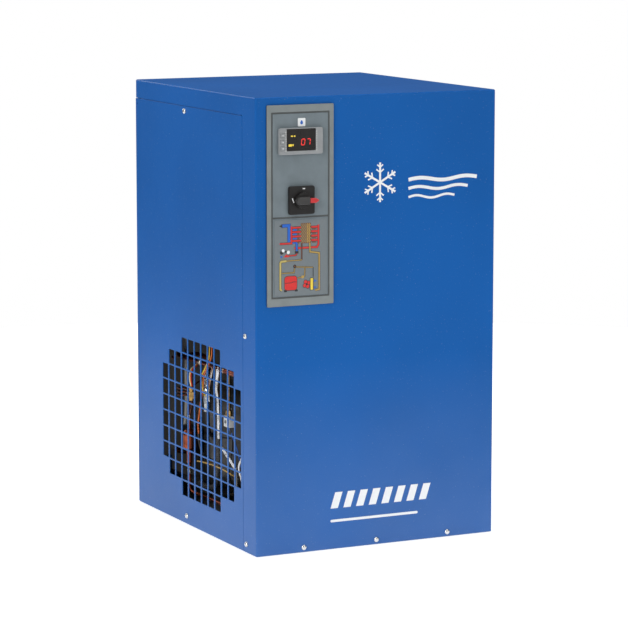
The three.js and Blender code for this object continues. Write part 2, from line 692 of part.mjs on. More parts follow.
// The copper lines of the circuit, in the order that the refrigerant takes.
function copperLines() {
  const { x, z, radius } = DISCHARGE;
  const runY = -222;
  const lineZ = 45;
  add("discharge_line", pipe([
    [-148, 186, 100], [x, 190, 104], [x, 190, z], [x, runY, z], [COIL_X, runY, z],
    [COIL_X, runY, COIL_Z1], [COIL_X, STUB_Y - FIT, COIL_Z1]], radius, 20), COPPER);
  add("liquid_line", pipe([
    [COIL_X, STUB_Y - FIT, COIL_Z0], [COIL_X, runY, COIL_Z0], [COIL_X, runY, lineZ], [x, runY, lineZ],
    [x, 60, lineZ], [FILTER.x, FILTER.y, lineZ + 5], [FILTER.x, FILTER.y, FILTER.low - FIT]],
  3.2, 14), COPPER);
  add("hot_gas_line", pipe([
    [EVAPORATOR.inX, EVAPORATOR.y, HOT_GAS_Z + 18 - FIT], [EVAPORATOR.inX, EVAPORATOR.y, HOT_GAS_Z],
    [-120, 150, HOT_GAS_Z], [-150, 150, z], [x + radius + 0.6, 150, z]], 4, 12), COPPER);
  add("evaporator_inlet_line", pipe([
    [EVAPORATOR.inX, CORE.front - 0.5, EVAPORATOR.z], [EVAPORATOR.inX, EVAPORATOR.y, EVAPORATOR.z],
    [EVAPORATOR.inX, EVAPORATOR.y, 360]], INLET_R, 16), COPPER);
  add("suction_line", pipe([
    [EVAPORATOR.outX, CORE.front - 0.5, EVAPORATOR.z], [EVAPORATOR.outX, EVAPORATOR.y, EVAPORATOR.z],
    [EVAPORATOR.outX, EVAPORATOR.y, 340], [-68, 2, 296], [-68, 2, 170], [-68, 26, 170]],
  SUCTION_R, 20), BLACK);
}

// ---- Air side ----

// Two foam halves close round the core, with holes for the ports, the refrigerant lines and the drain.
function insulation(front) {
  const middle = (CORE.front + CORE.back) / 2;
  const edge = 0.5;
  const y = front ? [CORE.front - FOAM, middle - FIT / 2] : [middle + FIT / 2, CORE.back + FOAM];
  const shell = block(around(0, CORE.x + FOAM), y, [DECK_TOP + FIT, CORE.high + FOAM]);
  const hollow = block(
    around(0, CORE.x + edge), [CORE.front - edge, CORE.back + edge], [CORE.low - edge, CORE.high + edge]);
  const wallY = [CORE.front - FOAM - 1, CORE.front];
  const rearY = [CORE.back, CORE.back + FOAM + 1];
  const holes = front
    ? [
      rod("y", SUCTION_R + 0.8, wallY, [EVAPORATOR.outX, EVAPORATOR.z], 10),
      rod("y", INLET_R + 0.8, wallY, [EVAPORATOR.inX, EVAPORATOR.z], 10),
      rod("z", 9, [DECK_TOP - 5, CORE.low], [DRAIN.x, DRAIN.y], 10),
    ]
    : BOTH.map((side) => rod("y", PORT.radius + 0.8, rearY, [side * PORT.x, PORT.z], 16));
  return cut(shell, hollow, ...holes);
}

function heatExchangerCore() {
  const core = block(around(0, CORE.x), [CORE.front, CORE.back], [CORE.low, CORE.high]);
  const ports = BOTH.map((side) =>
    rod("y", PORT.bore, [CORE.back - 40, CORE.back + 1], [side * PORT.x, PORT.z], 16));
  return cut(core, ...ports);
}

function airPort(side) {
  const centre = [side * PORT.x, PORT.z];
  const end = BACK + REACH;
  const body = joined(
    rod("y", PORT.radius, [CORE.back + 0.6, end], centre, 16),
    rod("y", PORT.nut, [BACK + FIT, BACK + 11], centre, 6),
  );
  return cut(body, rod("y", PORT.bore, [CORE.back - 1, end + 1], centre, 16));
}

function drainValve() {
  const { x, y, z } = DRAIN;
  const group = groupAt(x, y, z);
  const body = joined(
    block(around(0, 12), around(0, 12), around(0, 16)),
    rod("z", 8, [15, CORE.low - FIT - z - 0.5], [0, 0], 10),
  );
  add("drain_valve_body", body, BRASS, group);
  const face = -12 - FIT;
  const lever = joined(
    rod("y", 7, [face - 8, face], [0, 0], 10),
    block(around(0, 5), [face - 8, face - 5], [-42, 2]),
  );
  add("drain_valve_lever", lever, RED, group);
  const solenoid = joined(
    block([-40, -12 - FIT], around(0, 9), around(-4, 9)),
    block([-68, -34], around(0, 18), around(2, 19)),
    rod("x", 6, [-76, -67], [0, -4], 10),
  );
  add("drain_solenoid", solenoid, BLACK, group);
}

function drainHose() {
  const start = [DRAIN.x - 76 - FIT, DRAIN.y, DRAIN.z - 4];
  return pipe([
    start, [start[0] - 30, start[1], start[2]], [-179, 66, 300], [-180, 14, 240], [-180, 4, 130],
    [HOSE.x, 8, HOSE.z + 4], [HOSE.x, 60, HOSE.z], [HOSE.x, BACK - 12, HOSE.z]], HOSE.radius, 40, 8);
}

function drainOutlet() {
  const centre = [HOSE.x, HOSE.z];
  const end = BACK + REACH;
  const body = joined(
    rod("y", 7, [BACK - 12 + FIT, end], centre, 12),
    rod("y", 11, [BACK + FIT, BACK + 8], centre, 6),
    rod("y", 10, [BACK - 9, BACK - SHEET - FIT], centre, 6),
  );
  return cut(body, rod("y", 4.2, [BACK - 20, end + 1], centre, 8));
}

function cableGland() {
  const centre = [GLAND.x, GLAND.z];
  const end = BACK + REACH;
  const body = joined(
    rod("y", GLAND.thread, [BACK - 18, BACK + 1], centre, 12),
    rod("y", 13, [BACK - 8, BACK - SHEET - FIT], centre, 6),
    rod("y", 14, [BACK + FIT, BACK + 9], centre, 6),
    rod("y", 12, [BACK + 8, end], centre, 12, 9.5),
  );
  return cut(body, rod("y", GLAND.bore, [BACK - 20, end + 1], centre, 10));
}

// ---- Assembly ----
add("base_pan", basePan(), ZINC);
add("inner_frame", innerFrame(), ZINC);
add("front_top_cover", frontTopCover(), BLUE);
add("left_panel", sidePanel(-1), BLUE);
add("right_panel", sidePanel(1), BLUE);
add("back_panel", backPanel(), BLUE);
screws();

add("control_panel", controlPanel(), GREY);
const labelZ = [FIELD.low + 4.4, FIELD.divider - 4.1];
add("flow_diagram_label", block(
  around(CONTROL_X, FIELD.halfWidth - 5.3), [ON_PANEL - 0.5, ON_PANEL], labelZ), LABEL);
add("controller_housing", controllerHousing(), BEZEL_GREY);
const lensFace = ON_PANEL - BEZEL.thick;
add("display_lens", block(
  around(CONTROLLER_X, LENS.halfWidth), [lensFace, lensFace + LENS.thick], [LENS.low, LENS.high]), SMOKED);
["set", "up", "down"].forEach((name, i) => add(`key_${name}`, key(KEY.z[i]), BEZEL_GREY));
mainSwitch();

add("electric_box", electricBox(), ZINC);
add("terminal_block", terminalBlock(), GREY);
add("start_capacitor", startCapacitor(), ALUMINIUM);

compressor();
condenser();
add("fan_shroud", fanShroud(), BLACK_PAINT);
fanGuard();
add("fan_motor", joined(
  rod("x", FAN.motor, [56, 95], [0, 0], 16), rod("x", 26, [48, 57], [0, 0], 16)), BLACK_PAINT,
groupAt(0, FAN_Y, FAN_Z));
add("fan_rotor", fanRotor(), BLACK, groupAt(0, FAN_Y, FAN_Z));
filterDryer();
add("capillary_tube", capillaryTube(), COPPER);
add("hot_gas_valve", hotGasValve(), BRASS);
add("pressure_switch", pressureSwitch(), WHITE);
add("pressure_reset_button", resetButton(), GREY);
copperLines();

add("heat_exchanger_core", heatExchangerCore(), ALUMINIUM);
add("insulation_front", insulation(true), FOAM_BLACK);
add("insulation_rear", insulation(false), FOAM_BLACK);
add("air_inlet_port", airPort(1), STEEL);
add("air_outlet_port", airPort(-1), STEEL);
drainValve();
add("drain_hose", drainHose(), RUBBER);
add("drain_outlet_fitting", drainOutlet(), BRASS);
add("cable_gland", cableGland(), BLACK);

export default dryer;
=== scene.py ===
import math
import random

import bmesh
import bpy
from mathutils import Matrix, Vector


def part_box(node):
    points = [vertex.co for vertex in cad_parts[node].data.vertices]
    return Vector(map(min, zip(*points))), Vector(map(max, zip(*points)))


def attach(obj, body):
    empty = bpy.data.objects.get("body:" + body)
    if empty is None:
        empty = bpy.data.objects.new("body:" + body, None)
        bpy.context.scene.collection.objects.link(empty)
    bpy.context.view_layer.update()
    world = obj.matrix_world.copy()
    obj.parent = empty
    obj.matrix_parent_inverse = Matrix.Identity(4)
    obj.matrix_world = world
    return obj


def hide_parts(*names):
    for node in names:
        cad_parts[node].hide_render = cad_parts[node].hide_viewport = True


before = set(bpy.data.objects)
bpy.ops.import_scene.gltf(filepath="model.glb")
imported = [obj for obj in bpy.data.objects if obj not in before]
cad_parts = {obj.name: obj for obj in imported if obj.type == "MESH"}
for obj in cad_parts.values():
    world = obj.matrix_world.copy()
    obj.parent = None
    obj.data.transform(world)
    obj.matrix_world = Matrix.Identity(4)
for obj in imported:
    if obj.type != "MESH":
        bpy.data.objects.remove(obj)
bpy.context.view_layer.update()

MM = 0.001

# ---- Places, in millimetres, read from the frame ----


def span(node):
    """(lowest corner, highest corner) of a CAD node in millimetres."""
    low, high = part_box(node)
    return low / MM, high / MM


def middle(node):
    low, high = span(node)
    return (low + high) / 2


def front_of(node):
    """The y of a node's face and back, then its centre and half size as (x, z) pairs."""
    low, high = span(node)
    centre, half = (low + high) / 2, (high - low) / 2
    return low.y, high.y, (centre.x, centre.z), (half.x, half.z)


COVER_LOW, COVER_HIGH = span("front_top_cover")
RIGHT, FRONT, BACK = COVER_HIGH.x, COVER_LOW.y, COVER_HIGH.y
HEIGHT, FOOT = COVER_HIGH.z, COVER_LOW.z
PANEL_BACK, PANEL_TOP = span("left_panel")[1].yz
BOARD_FACE, BOARD_BACK, BOARD, BOARD_HALF = front_of("control_panel")
BEZEL_FACE, BEZEL_BACK, BEZEL_CENTRE, BEZEL_HALF = front_of("controller_housing")
SWITCH_FACE, SWITCH_BACK, SWITCH, SWITCH_HALF = front_of("switch_plate")
BOARD_X = BOARD[0]
SWITCH_X, SWITCH_Z = SWITCH
PORT_X, PORT_Z = middle("air_inlet_port").xz
FAN_Y, FAN_Z = middle("fan_motor").yz
FAN = (FAN_Y, FAN_Z)
GLAND = middle("cable_gland").xz
DRAIN_OUT = middle("drain_outlet_fitting").xz

SHEET = 1.5
SEAM = 1
RETURN = 52
GAP = 0.3
BRIM = HEIGHT - PANEL_TOP - SEAM
PANEL_FRONT = FRONT + RETURN + SEAM
FLANGE_IN, FLANGE_OUT = RIGHT - 2 * SHEET - GAP, RIGHT - SHEET - GAP
FLANGE_HEIGHTS = (36, 728)
GROOVE = 3
FIELD = {"half": 54.6, "low": 443.3, "high": 758.3, "divider": 580.4}
SLOT_ROWS = (6, 10, 12, 12, 12, 12, 12, 12, 10, 6)
SLOT = {"wide": 24, "high": 26.2, "pitch_y": 28.5, "pitch_z": 28.9, "corner": 1.6}
SIDE_SCREWS = [(36, 741.5), (36, 15.4), (-216, 376), (-218, 15.4)]

# Where the lines run: just under the deck, the discharge line's long run, the filter dryer and the valve.
UNDER_DECK = 396
RUN_X, RUN_Z = -190, 288
DRYER_X, DRYER_Y = -205, 80
VALVE_X, VALVE_Y = -30, 48

# ---- Settings ----


def given(thing, **settings):
    """A thing of Blender's with some of its attributes set."""
    for name, value in settings.items():
        setattr(thing, name, value)
    return thing


def fed(node, **sockets):
    """A shader node with values in some sockets, whose names have underscores for spaces."""
    for name, value in sockets.items():
        node.inputs[name.replace("_", " ")].default_value = value
    return node


# ---- Materials ----


class Finish:
    """One procedural material, built up layer by layer on a Principled shader."""

    def __init__(self, name, roughness=0.5, metallic=0.0, **sockets):
        self.material = bpy.data.materials.new(name)
        self.material.use_nodes = True
        self.tree = self.material.node_tree
        shader = self.tree.nodes["Principled BSDF"]
        self.shader = fed(shader, Roughness=roughness, Metallic=metallic, **sockets)
        self.place = self.node("ShaderNodeTexCoord").outputs["Object"]
        self.normal = None

    def node(self, kind, **settings):
        return given(self.tree.nodes.new(kind), **settings)

    def link(self, output, target):
        self.tree.links.new(output, target)
        return self

    def noise(self, scale, detail=3.0, stretch=(1, 1, 1)):
        """Noise with features about 1/scale metres wide."""
        mapping = fed(self.node("ShaderNodeMapping"), Scale=stretch)
        self.link(self.place, mapping.inputs["Vector"])
        made = fed(self.node("ShaderNodeTexNoise"), Scale=scale, Detail=detail, Roughness=0.55)
        self.link(mapping.outputs["Vector"], made.inputs["Vector"])
        return made.outputs["Fac"]

    def cells(self, scale, output="Distance"):
        made = fed(self.node("ShaderNodeTexVoronoi"), Scale=scale)
        self.link(self.place, made.inputs["Vector"])
        return made.outputs[output]

    def ranged(self, value, low, high, from_low=0.3, from_high=0.7):
        made = fed(self.node("ShaderNodeMapRange"), From_Min=from_low, From_Max=from_high)
        fed(made, To_Min=low, To_Max=high)
        self.link(value, made.inputs["Value"])
        return made.outputs["Result"]

    def height(self, low, high):
        """0 at the low height and 1 at the high one, in millimetres above the floor."""
        split = self.node("ShaderNodeSeparateXYZ")
        self.link(self.place, split.inputs["Vector"])
        return self.ranged(split.outputs["Z"], 0, 1, low * MM, high * MM)

    def times(self, a, b):
        made = self.node("ShaderNodeMath", operation="MULTIPLY")
        self.link(a, made.inputs[0])
        self.link(b, made.inputs[1])
        return made.outputs["Value"]

    def colour(self, base):
        fed(self.shader, Base_Color=(*base, 1))
        return self

    def emits(self, colour):
        fed(self.shader, Emission_Color=(*colour, 1))
        return self

    def towards(self, other, share, *limits):
        """Blends the colour so far towards another one, by a share that limits may range first."""
        shader = self.shader.inputs["Base Color"]
        mix = self.node("ShaderNodeMix", data_type="RGBA")
        if shader.is_linked:
            self.link(shader.links[0].from_socket, mix.inputs[6])
        else:
            mix.inputs[6].default_value = shader.default_value
        mix.inputs[7].default_value = (*other, 1)
        self.link(self.ranged(share, *limits) if limits else share, mix.inputs[0])
        return self.link(mix.outputs[2], shader)

    def gloss(self, value, low, high):
        return self.link(self.ranged(value, low, high), self.shader.inputs["Roughness"])

    def bump(self, value, depth, strength=1.0):
        """Depth is in millimetres."""
        made = fed(self.node("ShaderNodeBump"), Strength=strength, Distance=depth * MM)
        self.link(value, made.inputs["Height"])
        if self.normal:
            self.link(self.normal, made.inputs["Normal"])
        self.normal = made.outputs["Normal"]
        return self.link(self.normal, self.shader.inputs["Normal"])


def shade(colour, share):
    return [c * share for c in colour]


def powder_coat(name, colour, dust):
    """Satin paint with orange peel, a little colour drift and dust settled low down."""
    made = Finish(name, 0.42, Specular_IOR_Level=0.14, Coat_Weight=0.01, Coat_Roughness=0.3)
    made.colour(colour)
    made.towards(shade(colour, 0.86), made.noise(3.5, 2), 0, 1)
    paler = [c * 0.7 + d * 0.3 for c, d in zip(colour, dust)]
    low_down = made.ranged(made.height(0, 330), 0.42, 0, 0, 1)
    made.towards(paler, made.times(low_down, made.ranged(made.noise(9, 4), 0.7, 1)))
    made.towards(dust, made.noise(420, 2), 0, 0.35, 0.68, 0.78)
    made.gloss(made.noise(70, 4), 0.41, 0.445)
    made.bump(made.noise(520, 1.5), 0.05, 0.35)
    return made.bump(made.noise(60, 1), 0.03, 0.2).material


def moulded(name, colour, roughness, grain=900, depth=0.03, **sockets):
    """Plastic with a fine spark-eroded grain and slight handling marks."""
    made = Finish(name, roughness, **sockets).colour(colour)
    lighter = [min(1, c * 1.25 + 0.004) for c in colour]
    made.towards(lighter, made.noise(45, 4), 0, 0.6)
    made.gloss(made.noise(70, 4), roughness * 0.85, min(1, roughness * 1.15))
    return made.bump(made.noise(grain, 2), depth, 0.5).material


def bare_metal(name, colour, roughness, tarnish, brushed=(1, 1, 1), grain=700, depth=0.02):
    """Bare metal with drawn or turned grain, and tarnish in soft patches."""
    made = Finish(name, roughness, 1.0).colour(colour)
    made.towards(tarnish, made.noise(38, 5), 0, 0.85)
    made.towards(shade(tarnish, 0.55), made.noise(150, 4), 0, 0.5, 0.58, 0.75)
    made.gloss(made.noise(110, 4, brushed), roughness * 0.75, min(1, roughness * 1.35))
    return made.bump(made.noise(grain, 2, brushed), depth, 0.5).material


def galvanised(name):
    """Zinc with its crystal pattern."""
    made = Finish(name, 0.42, 1.0).colour((0.42, 0.44, 0.46))
    crystal = made.cells(130, "Color")
    made.towards((0.62, 0.64, 0.66), crystal, 0, 0.8, 0.1, 0.9)
    made.towards((0.2, 0.21, 0.22), made.noise(22, 5), 0, 0.35)
    made.gloss(crystal, 0.3, 0.5)
    return made.bump(made.noise(500, 2), 0.02, 0.4).material


def enamel(name):
    """Black enamel with a film of dust."""
    made = Finish(name, 0.32, Coat_Weight=0.3, Coat_Roughness=0.15).colour((0.026, 0.025, 0.023))
    made.towards((0.08, 0.073, 0.062), made.noise(30, 6), 0, 0.5)
    made.gloss(made.noise(40, 5), 0.25, 0.5)
    return made.bump(made.noise(180, 2), 0.15, 0.35).material


def foam(name):
    """Dark foam with a faint painted glow that lifts it out of its shade."""
    # Painted light: the weak emission brightens the foam wherever it lies in shade.
    made = Finish(name, 0.92, Emission_Strength=0.017).emits((1, 0.93, 0.84)).colour((0.045, 0.042, 0.037))
    made.material.cycles.emission_sampling = "NONE"
    made.towards((0.08, 0.076, 0.068), made.cells(700), 0, 1, 0.1, 0.6)
    made.bump(made.cells(700), 0.3, 0.6)
    return made.bump(made.noise(60, 3), 0.5, 0.4).material


def braided(name, colour, thread):
    """Rubber under a woven cover, whose threads catch the light in small lozenges."""
    made = Finish(name, 0.5).colour(colour)
    weave = made.cells(420)
    made.towards(thread, weave, 1, 0, 0.15, 0.55)
    made.towards(shade(colour, 0.4), made.noise(40, 3), 0, 0.7)
    made.gloss(weave, 0.35, 0.6)
    return made.bump(weave, 0.3, 0.6).material


def printed(name, colour, roughness=0.42, wear=0.8):
    """Screen-printed ink, slightly uneven."""
    made = Finish(name, roughness).colour(colour)
    made.towards(shade(colour, wear), made.noise(160, 4), 0, 0.6)
    made.gloss(made.noise(240, 3), roughness * 0.85, roughness * 1.2)
    return made.bump(made.noise(1500, 1), 0.01, 0.4).material


def glowing(name, colour, strength):
    """A lit display segment, a little darker in places."""
    made = Finish(name, 0.35, Emission_Strength=strength).emits(colour).colour(colour)
    return made.towards(shade(colour, 0.75), made.noise(700, 2), 0, 1).material


def studio_floor(name):
    """Matt white sheet that glows a little, like a light table."""
    made = Finish(name, 0.8, Specular_IOR_Level=0.1, Emission_Strength=0.6).emits((0.97, 0.98, 1))
    made.colour((0.87, 0.87, 0.87))
    made.towards((0.84, 0.84, 0.845), made.noise(1.5, 4), 0, 1)
    return made.bump(made.noise(90, 2), 0.2, 0.2).material


BLUE = powder_coat("blue_powder_coat", (0.004, 0.103, 0.385), (0.42, 0.46, 0.5))
GREY_BOARD = moulded("grey_board", (0.147, 0.18, 0.196), 0.62, 1100, 0.05, Specular_IOR_Level=0.35)
GREY_RIM = moulded("grey_rim", (0.19, 0.212, 0.212), 0.66, 800, 0.08, Specular_IOR_Level=0.35)
# The grooves' floor, painted dark as the shade inside them.
GROOVE_SHADE = moulded("groove_painted_shade", (0.075, 0.082, 0.082), 0.7)
BEZEL = moulded("bezel_plastic", (0.25, 0.26, 0.265), 0.5, 1000, 0.04)
PALE = moulded("pale_plastic", (0.42, 0.42, 0.41), 0.5)
BLACK = moulded("black_plastic", (0.0085, 0.0075, 0.007), 0.48, Specular_IOR_Level=0.35)
KNOB = moulded("knob_plastic", (0.03, 0.029, 0.028), 0.38)
RED = moulded("red_plastic", (0.52, 0.022, 0.024), 0.35, 900, 0.02)
SMOKED = moulded("smoked_window", (0.02, 0.018, 0.017), 0.14, 400, 0.003, Coat_Weight=0.4)
GREY_PLASTIC = moulded("grey_plastic", (0.18, 0.19, 0.19), 0.5)
WHITE_PLASTIC = moulded("white_plastic", (0.72, 0.73, 0.72), 0.45)
RUBBER = moulded("black_rubber", (0.02, 0.02, 0.021), 0.62, 500, 0.05)
BRAID = braided("braided_hose", (0.03, 0.03, 0.032), (0.16, 0.165, 0.17))
ZINC = galvanised("galvanised_steel")
BRIGHT_ZINC = bare_metal("bright_zinc", (0.76, 0.77, 0.78), 0.22, (0.5, 0.51, 0.52), depth=0.01)
FOIL = bare_metal("crumpled_foil", (0.5, 0.52, 0.53), 0.24, (0.2, 0.21, 0.22))
ENAMEL = enamel("black_enamel")
COPPER = bare_metal("copper_tube", (0.46, 0.12, 0.056), 0.34, (0.17, 0.04, 0.022))
AGED_COPPER = bare_metal("aged_copper", (0.15, 0.055, 0.032), 0.45, (0.06, 0.026, 0.018))
BRAZE = bare_metal("brazing", (0.72, 0.66, 0.55), 0.35, (0.3, 0.24, 0.18), depth=0.1)
BRASS = bare_metal("turned_brass", (0.74, 0.47, 0.16), 0.3, (0.42, 0.25, 0.08), (1, 1, 8))
ALUMINIUM = bare_metal("mill_aluminium", (0.72, 0.73, 0.74), 0.36, (0.5, 0.51, 0.52), (1, 1, 14))
FIN = bare_metal("fin_aluminium", (0.66, 0.67, 0.68), 0.3, (0.4, 0.41, 0.42))
STEEL = bare_metal("machined_steel", (0.46, 0.46, 0.46), 0.32, (0.28, 0.27, 0.26), (1, 10, 1))
SCREW = bare_metal("screw_zinc", (0.78, 0.78, 0.76), 0.26, (0.5, 0.5, 0.48), grain=1600)
FOAM = foam("closed_cell_foam_painted_glow")
LABEL = printed("label_film", (0.16, 0.187, 0.2), 0.4, 0.9)
DIGIT_RED = glowing("display_red", (0.85, 0.028, 0.02), 0.5)
ICON_YELLOW = glowing("display_yellow", (0.8, 0.58, 0.05), 0.34)
INK = {name: printed(f"ink_{name}", colour) for name, colour in {
    "black": (0.02, 0.02, 0.02), "blue": (0.01, 0.12, 0.55), "red": (0.66, 0.022, 0.02),
    "yellow": (0.5, 0.4, 0.12), "brown": (0.16, 0.055, 0.03), "gold": (0.44, 0.29, 0.07),
    "tan": (0.25, 0.19, 0.09), "lemon": (0.85, 0.62, 0.06),
}.items()}
INK["white"] = printed("ink_white", (0.82, 0.83, 0.83), wear=0.92)
WIRE = {name: moulded(f"wire_{name}", colour, 0.4) for name, colour in {
    "yellow": (0.75, 0.5, 0.03), "blue": (0.02, 0.12, 0.5), "black": (0.015, 0.015, 0.015),
    "white": (0.7, 0.7, 0.68), "red": (0.55, 0.02, 0.02), "orange": (0.62, 0.13, 0.02),
    "ochre": (0.5, 0.3, 0.06), "grey": (0.3, 0.29, 0.27),
}.items()}

# ---- Mesh helpers ----


def linked(name, data):
    """A new object in the scene."""
    made = bpy.data.objects.new(name, data)
    bpy.context.scene.collection.objects.link(made)
    return made


def finished(name, mesh, material, slot, node=None, body="cabinet", angle=35, weighted=True):
    """Puts a mesh into the scene as a piece on a body. Materials may be one or a list."""
    obj = linked(name, mesh)
    for one in material if isinstance(material, list) else [material]:
        mesh.materials.append(one)
    mesh.shade_smooth()
    mesh.set_sharp_from_angle(angle=math.radians(angle))
    if weighted:
        given(obj.modifiers.new("normals", "WEIGHTED_NORMAL"), keep_sharp=True, weight=80)
    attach(obj, body)
    if node:
        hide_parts(node)
    return obj


def plain_mesh(bm, name):
    mesh = bpy.data.meshes.new(name)
    bm.to_mesh(mesh)
    bm.free()
    return mesh


def closed_mesh(bm, name):
    """A mesh whose doubled points are merged and whose faces point out."""
    bmesh.ops.remove_doubles(bm, verts=bm.verts, dist=1e-7)
    bmesh.ops.recalc_face_normals(bm, faces=bm.faces)
    return plain_mesh(bm, name)


def piece(name, bm, *look, **more):
    return finished(name, closed_mesh(bm, name), *look, **more)


def append(bm, other):
    """Moves another bmesh's faces into bm."""
    mesh = plain_mesh(other, "part")
    bm.from_mesh(mesh)
    bpy.data.meshes.remove(mesh)


def arc(u, v, across, along, start, end, steps):
    """Points on a stretch of an ellipse round (u, v). Its start and end are in quarter turns."""
    angles = (math.pi / 2 * (start + (end - start) * i / steps) for i in range(steps + 1))
    return [(u + across * math.cos(a), v + along * math.sin(a)) for a in angles]


def loop(centre, radii, oval=1.0):
    """Points round a centre, one for each radius."""
    turn = math.tau / len(radii)
    return [(centre[0] + r * math.cos(i * turn), centre[1] + r * oval * math.sin(i * turn))
            for i, r in enumerate(radii)]


def circle(centre, radius, steps=32):
    return loop(centre, [radius] * steps)


def rounded(centre, half, corner, steps=4):
    """A rectangle's outline with rounded corners."""
    points = []
    for quarter, (su, sv) in enumerate(((1, 1), (-1, 1), (-1, -1), (1, -1))):
        u, v = centre[0] + su * (half[0] - corner), centre[1] + sv * (half[1] - corner)
        points += arc(u, v, corner, corner, quarter, quarter + 1, steps)
    return points


def stand(axis, u, v, w):
    """The point with coordinates u and v across an axis, in x, y, z order, and w along it, in metres."""
    return Vector({"x": (w, u, v), "y": (u, w, v), "z": (u, v, w)}[axis]) * MM


def skin(bm, rings, closed=False):
    """Adds faces between rings of points in metres, and flat ends unless the last ring meets the first."""
    made = [[bm.verts.new(point) for point in ring] for ring in rings]
    faces = [] if closed else [bm.faces.new(made[0]), bm.faces.new(made[-1])]
    for a, b in zip(made, made[1:] + (made[:1] if closed else [])):
        for i in range(len(a)):
            j = (i + 1) % len(a)
            faces.append(bm.faces.new((a[i], a[j], b[j], b[i])))
    return faces


def mesh_of(curve, lines, cyclic):
    """The mesh of a curve through lines of points in metres."""
    for line in lines:
        spline = curve.splines.new("POLY")
        spline.points.add(len(line) - 1)
        spline.use_cyclic_u = cyclic
        for point, place in zip(spline.points, line):
            point.co = (*place, 1)
    holder = linked("curve", curve)
    graph = bpy.context.evaluated_depsgraph_get()
    mesh = bpy.data.meshes.new_from_object(holder.evaluated_get(graph))
    bpy.data.objects.remove(holder)
    bpy.data.curves.remove(curve)
    return mesh


def slab(outline, holes, axis, low, high, edge=0.3):
    """A flat piece with holes, as a bmesh. Its outline lies across the axis, and its rims are rounded."""
    curve = given(bpy.data.curves.new("slab", "CURVE"), dimensions="2D", fill_mode="BOTH", bevel_resolution=1)
    given(curve, extrude=((high - low) / 2 - edge) * MM, bevel_depth=edge * MM, offset=-edge * MM)
    rings = [outline] + [hole[::-1] for hole in holes]
    flat = mesh_of(curve, [[(u * MM, v * MM, 0) for u, v in ring] for ring in rings], True)
    bm = bmesh.new()
    bm.from_mesh(flat)
    bpy.data.meshes.remove(flat)
    for vert in bm.verts:
        u, v, w = vert.co / MM
        vert.co = stand(axis, u, v, (low + high) / 2 + w)
    bmesh.ops.remove_doubles(bm, verts=bm.verts, dist=2e-6)
    return bm


def plate(name, outline, holes, axis, low, high, *look, edge=0.3, **more):
    return piece(name, slab(outline, holes, axis, low, high, edge), *look, **more)


def brick(bm, low, high, edge=0.5, segments=2):
    """Adds a box with rounded edges to a bmesh."""
    made = bmesh.new()
    bmesh.ops.create_cube(made, size=1)
    low, high = Vector(low) * MM, Vector(high) * MM
    for vert in made.verts:
        vert.co = vert.co * (high - low) + (low + high) / 2
    if edge:
        bmesh.ops.bevel(
            made, geom=made.edges[:], offset=edge * MM, segments=segments, affect="EDGES", profile=0.5)
    append(bm, made)


def bricks(name, boxes, *look, edge=0.5):
    bm = bmesh.new()
    for low, high in boxes:
        brick(bm, low, high, edge)
    return piece(name, bm, *look)


def rod(radius, low, high):
    """The profile of a plain round rod, for turning."""
    return [(0, low), (radius, low), (radius, high), (0, high)]


def turned(profile, axis, centre, sides=48, oval=1.0):
    """A profile of (radius, place along the axis) turned about the axis, as a bmesh. Radius 0 closes it."""
    bm = bmesh.new()
    rings = []
    for radius, along in profile:
        points = loop(centre, [radius] * sides, oval) if radius else [centre]
        rings.append([bm.verts.new(stand(axis, u, v, along)) for u, v in points])
    for a, b in zip(rings, rings[1:]):
        for i in range(sides):
            j = (i + 1) % sides
            corners = list(dict.fromkeys([a[i % len(a)], a[j % len(a)], b[j % len(b)], b[i % len(b)]]))
            if len(corners) > 2:
                bm.faces.new(corners)
    return bm


def lathe(name, profile, axis, centre, *look, sides=48, oval=1.0, **more):
    return piece(name, turned(profile, axis, centre, sides, oval), *look, **more)


def hexagon(bm, axis, centre, low, high, across, bore=0.0):
    """Adds a hexagonal nut with chamfered corners to a bmesh. Across is its corner radius."""
    steps, sixth = 96, math.pi / 3
    flat = across * math.cos(sixth / 2)
    chamfer = (across - flat) * 0.36
    sides = [flat / math.cos((math.tau * i / steps + sixth / 2) % sixth - sixth / 2) for i in range(steps)]
    stations = [(low, flat * 0.98), (low + chamfer, across), (high - chamfer, across), (high, flat * 0.98)]
    rings = [([min(side, most) for side in sides], along) for along, most in stations]
    if bore:
        rings += [([bore] * steps, high), ([bore] * steps, low)]
    rings = [[stand(axis, u, v, along) for u, v in loop(centre, radii)] for radii, along in rings]
    skin(bm, rings, bool(bore))


def route(points, bend, steps=8):
    """A centreline with rounded bends through corner points, in metres."""
    corners = [Vector(p) * MM for p in points]
    path = [corners[0]]
    for before, corner, after in zip(corners, corners[1:], corners[2:]):
        back, ahead = before - corner, after - corner
        reach = min(bend * MM, back.length * 0.45, ahead.length * 0.45)
        start, end = corner + back.normalized() * reach, corner + ahead.normalized() * reach
        for i in range(steps + 1):
            t = i / steps
            path.append(start * (1 - t) ** 2 + corner * 2 * t * (1 - t) + end * t * t)
    path.append(corners[-1])
    return path


def tube(name, path, radius, *look, **more):
    """A round tube along a centreline in metres."""
    curve = given(bpy.data.curves.new(name, "CURVE"), dimensions="3D", use_fill_caps=True)
    given(curve, bevel_depth=radius * MM, bevel_resolution=3 if radius < 3 else 5)
    mesh = mesh_of(curve, [path], False)
    mesh.name = name
    mesh.materials.clear()
    return finished(name, mesh, *look, angle=50, **more)


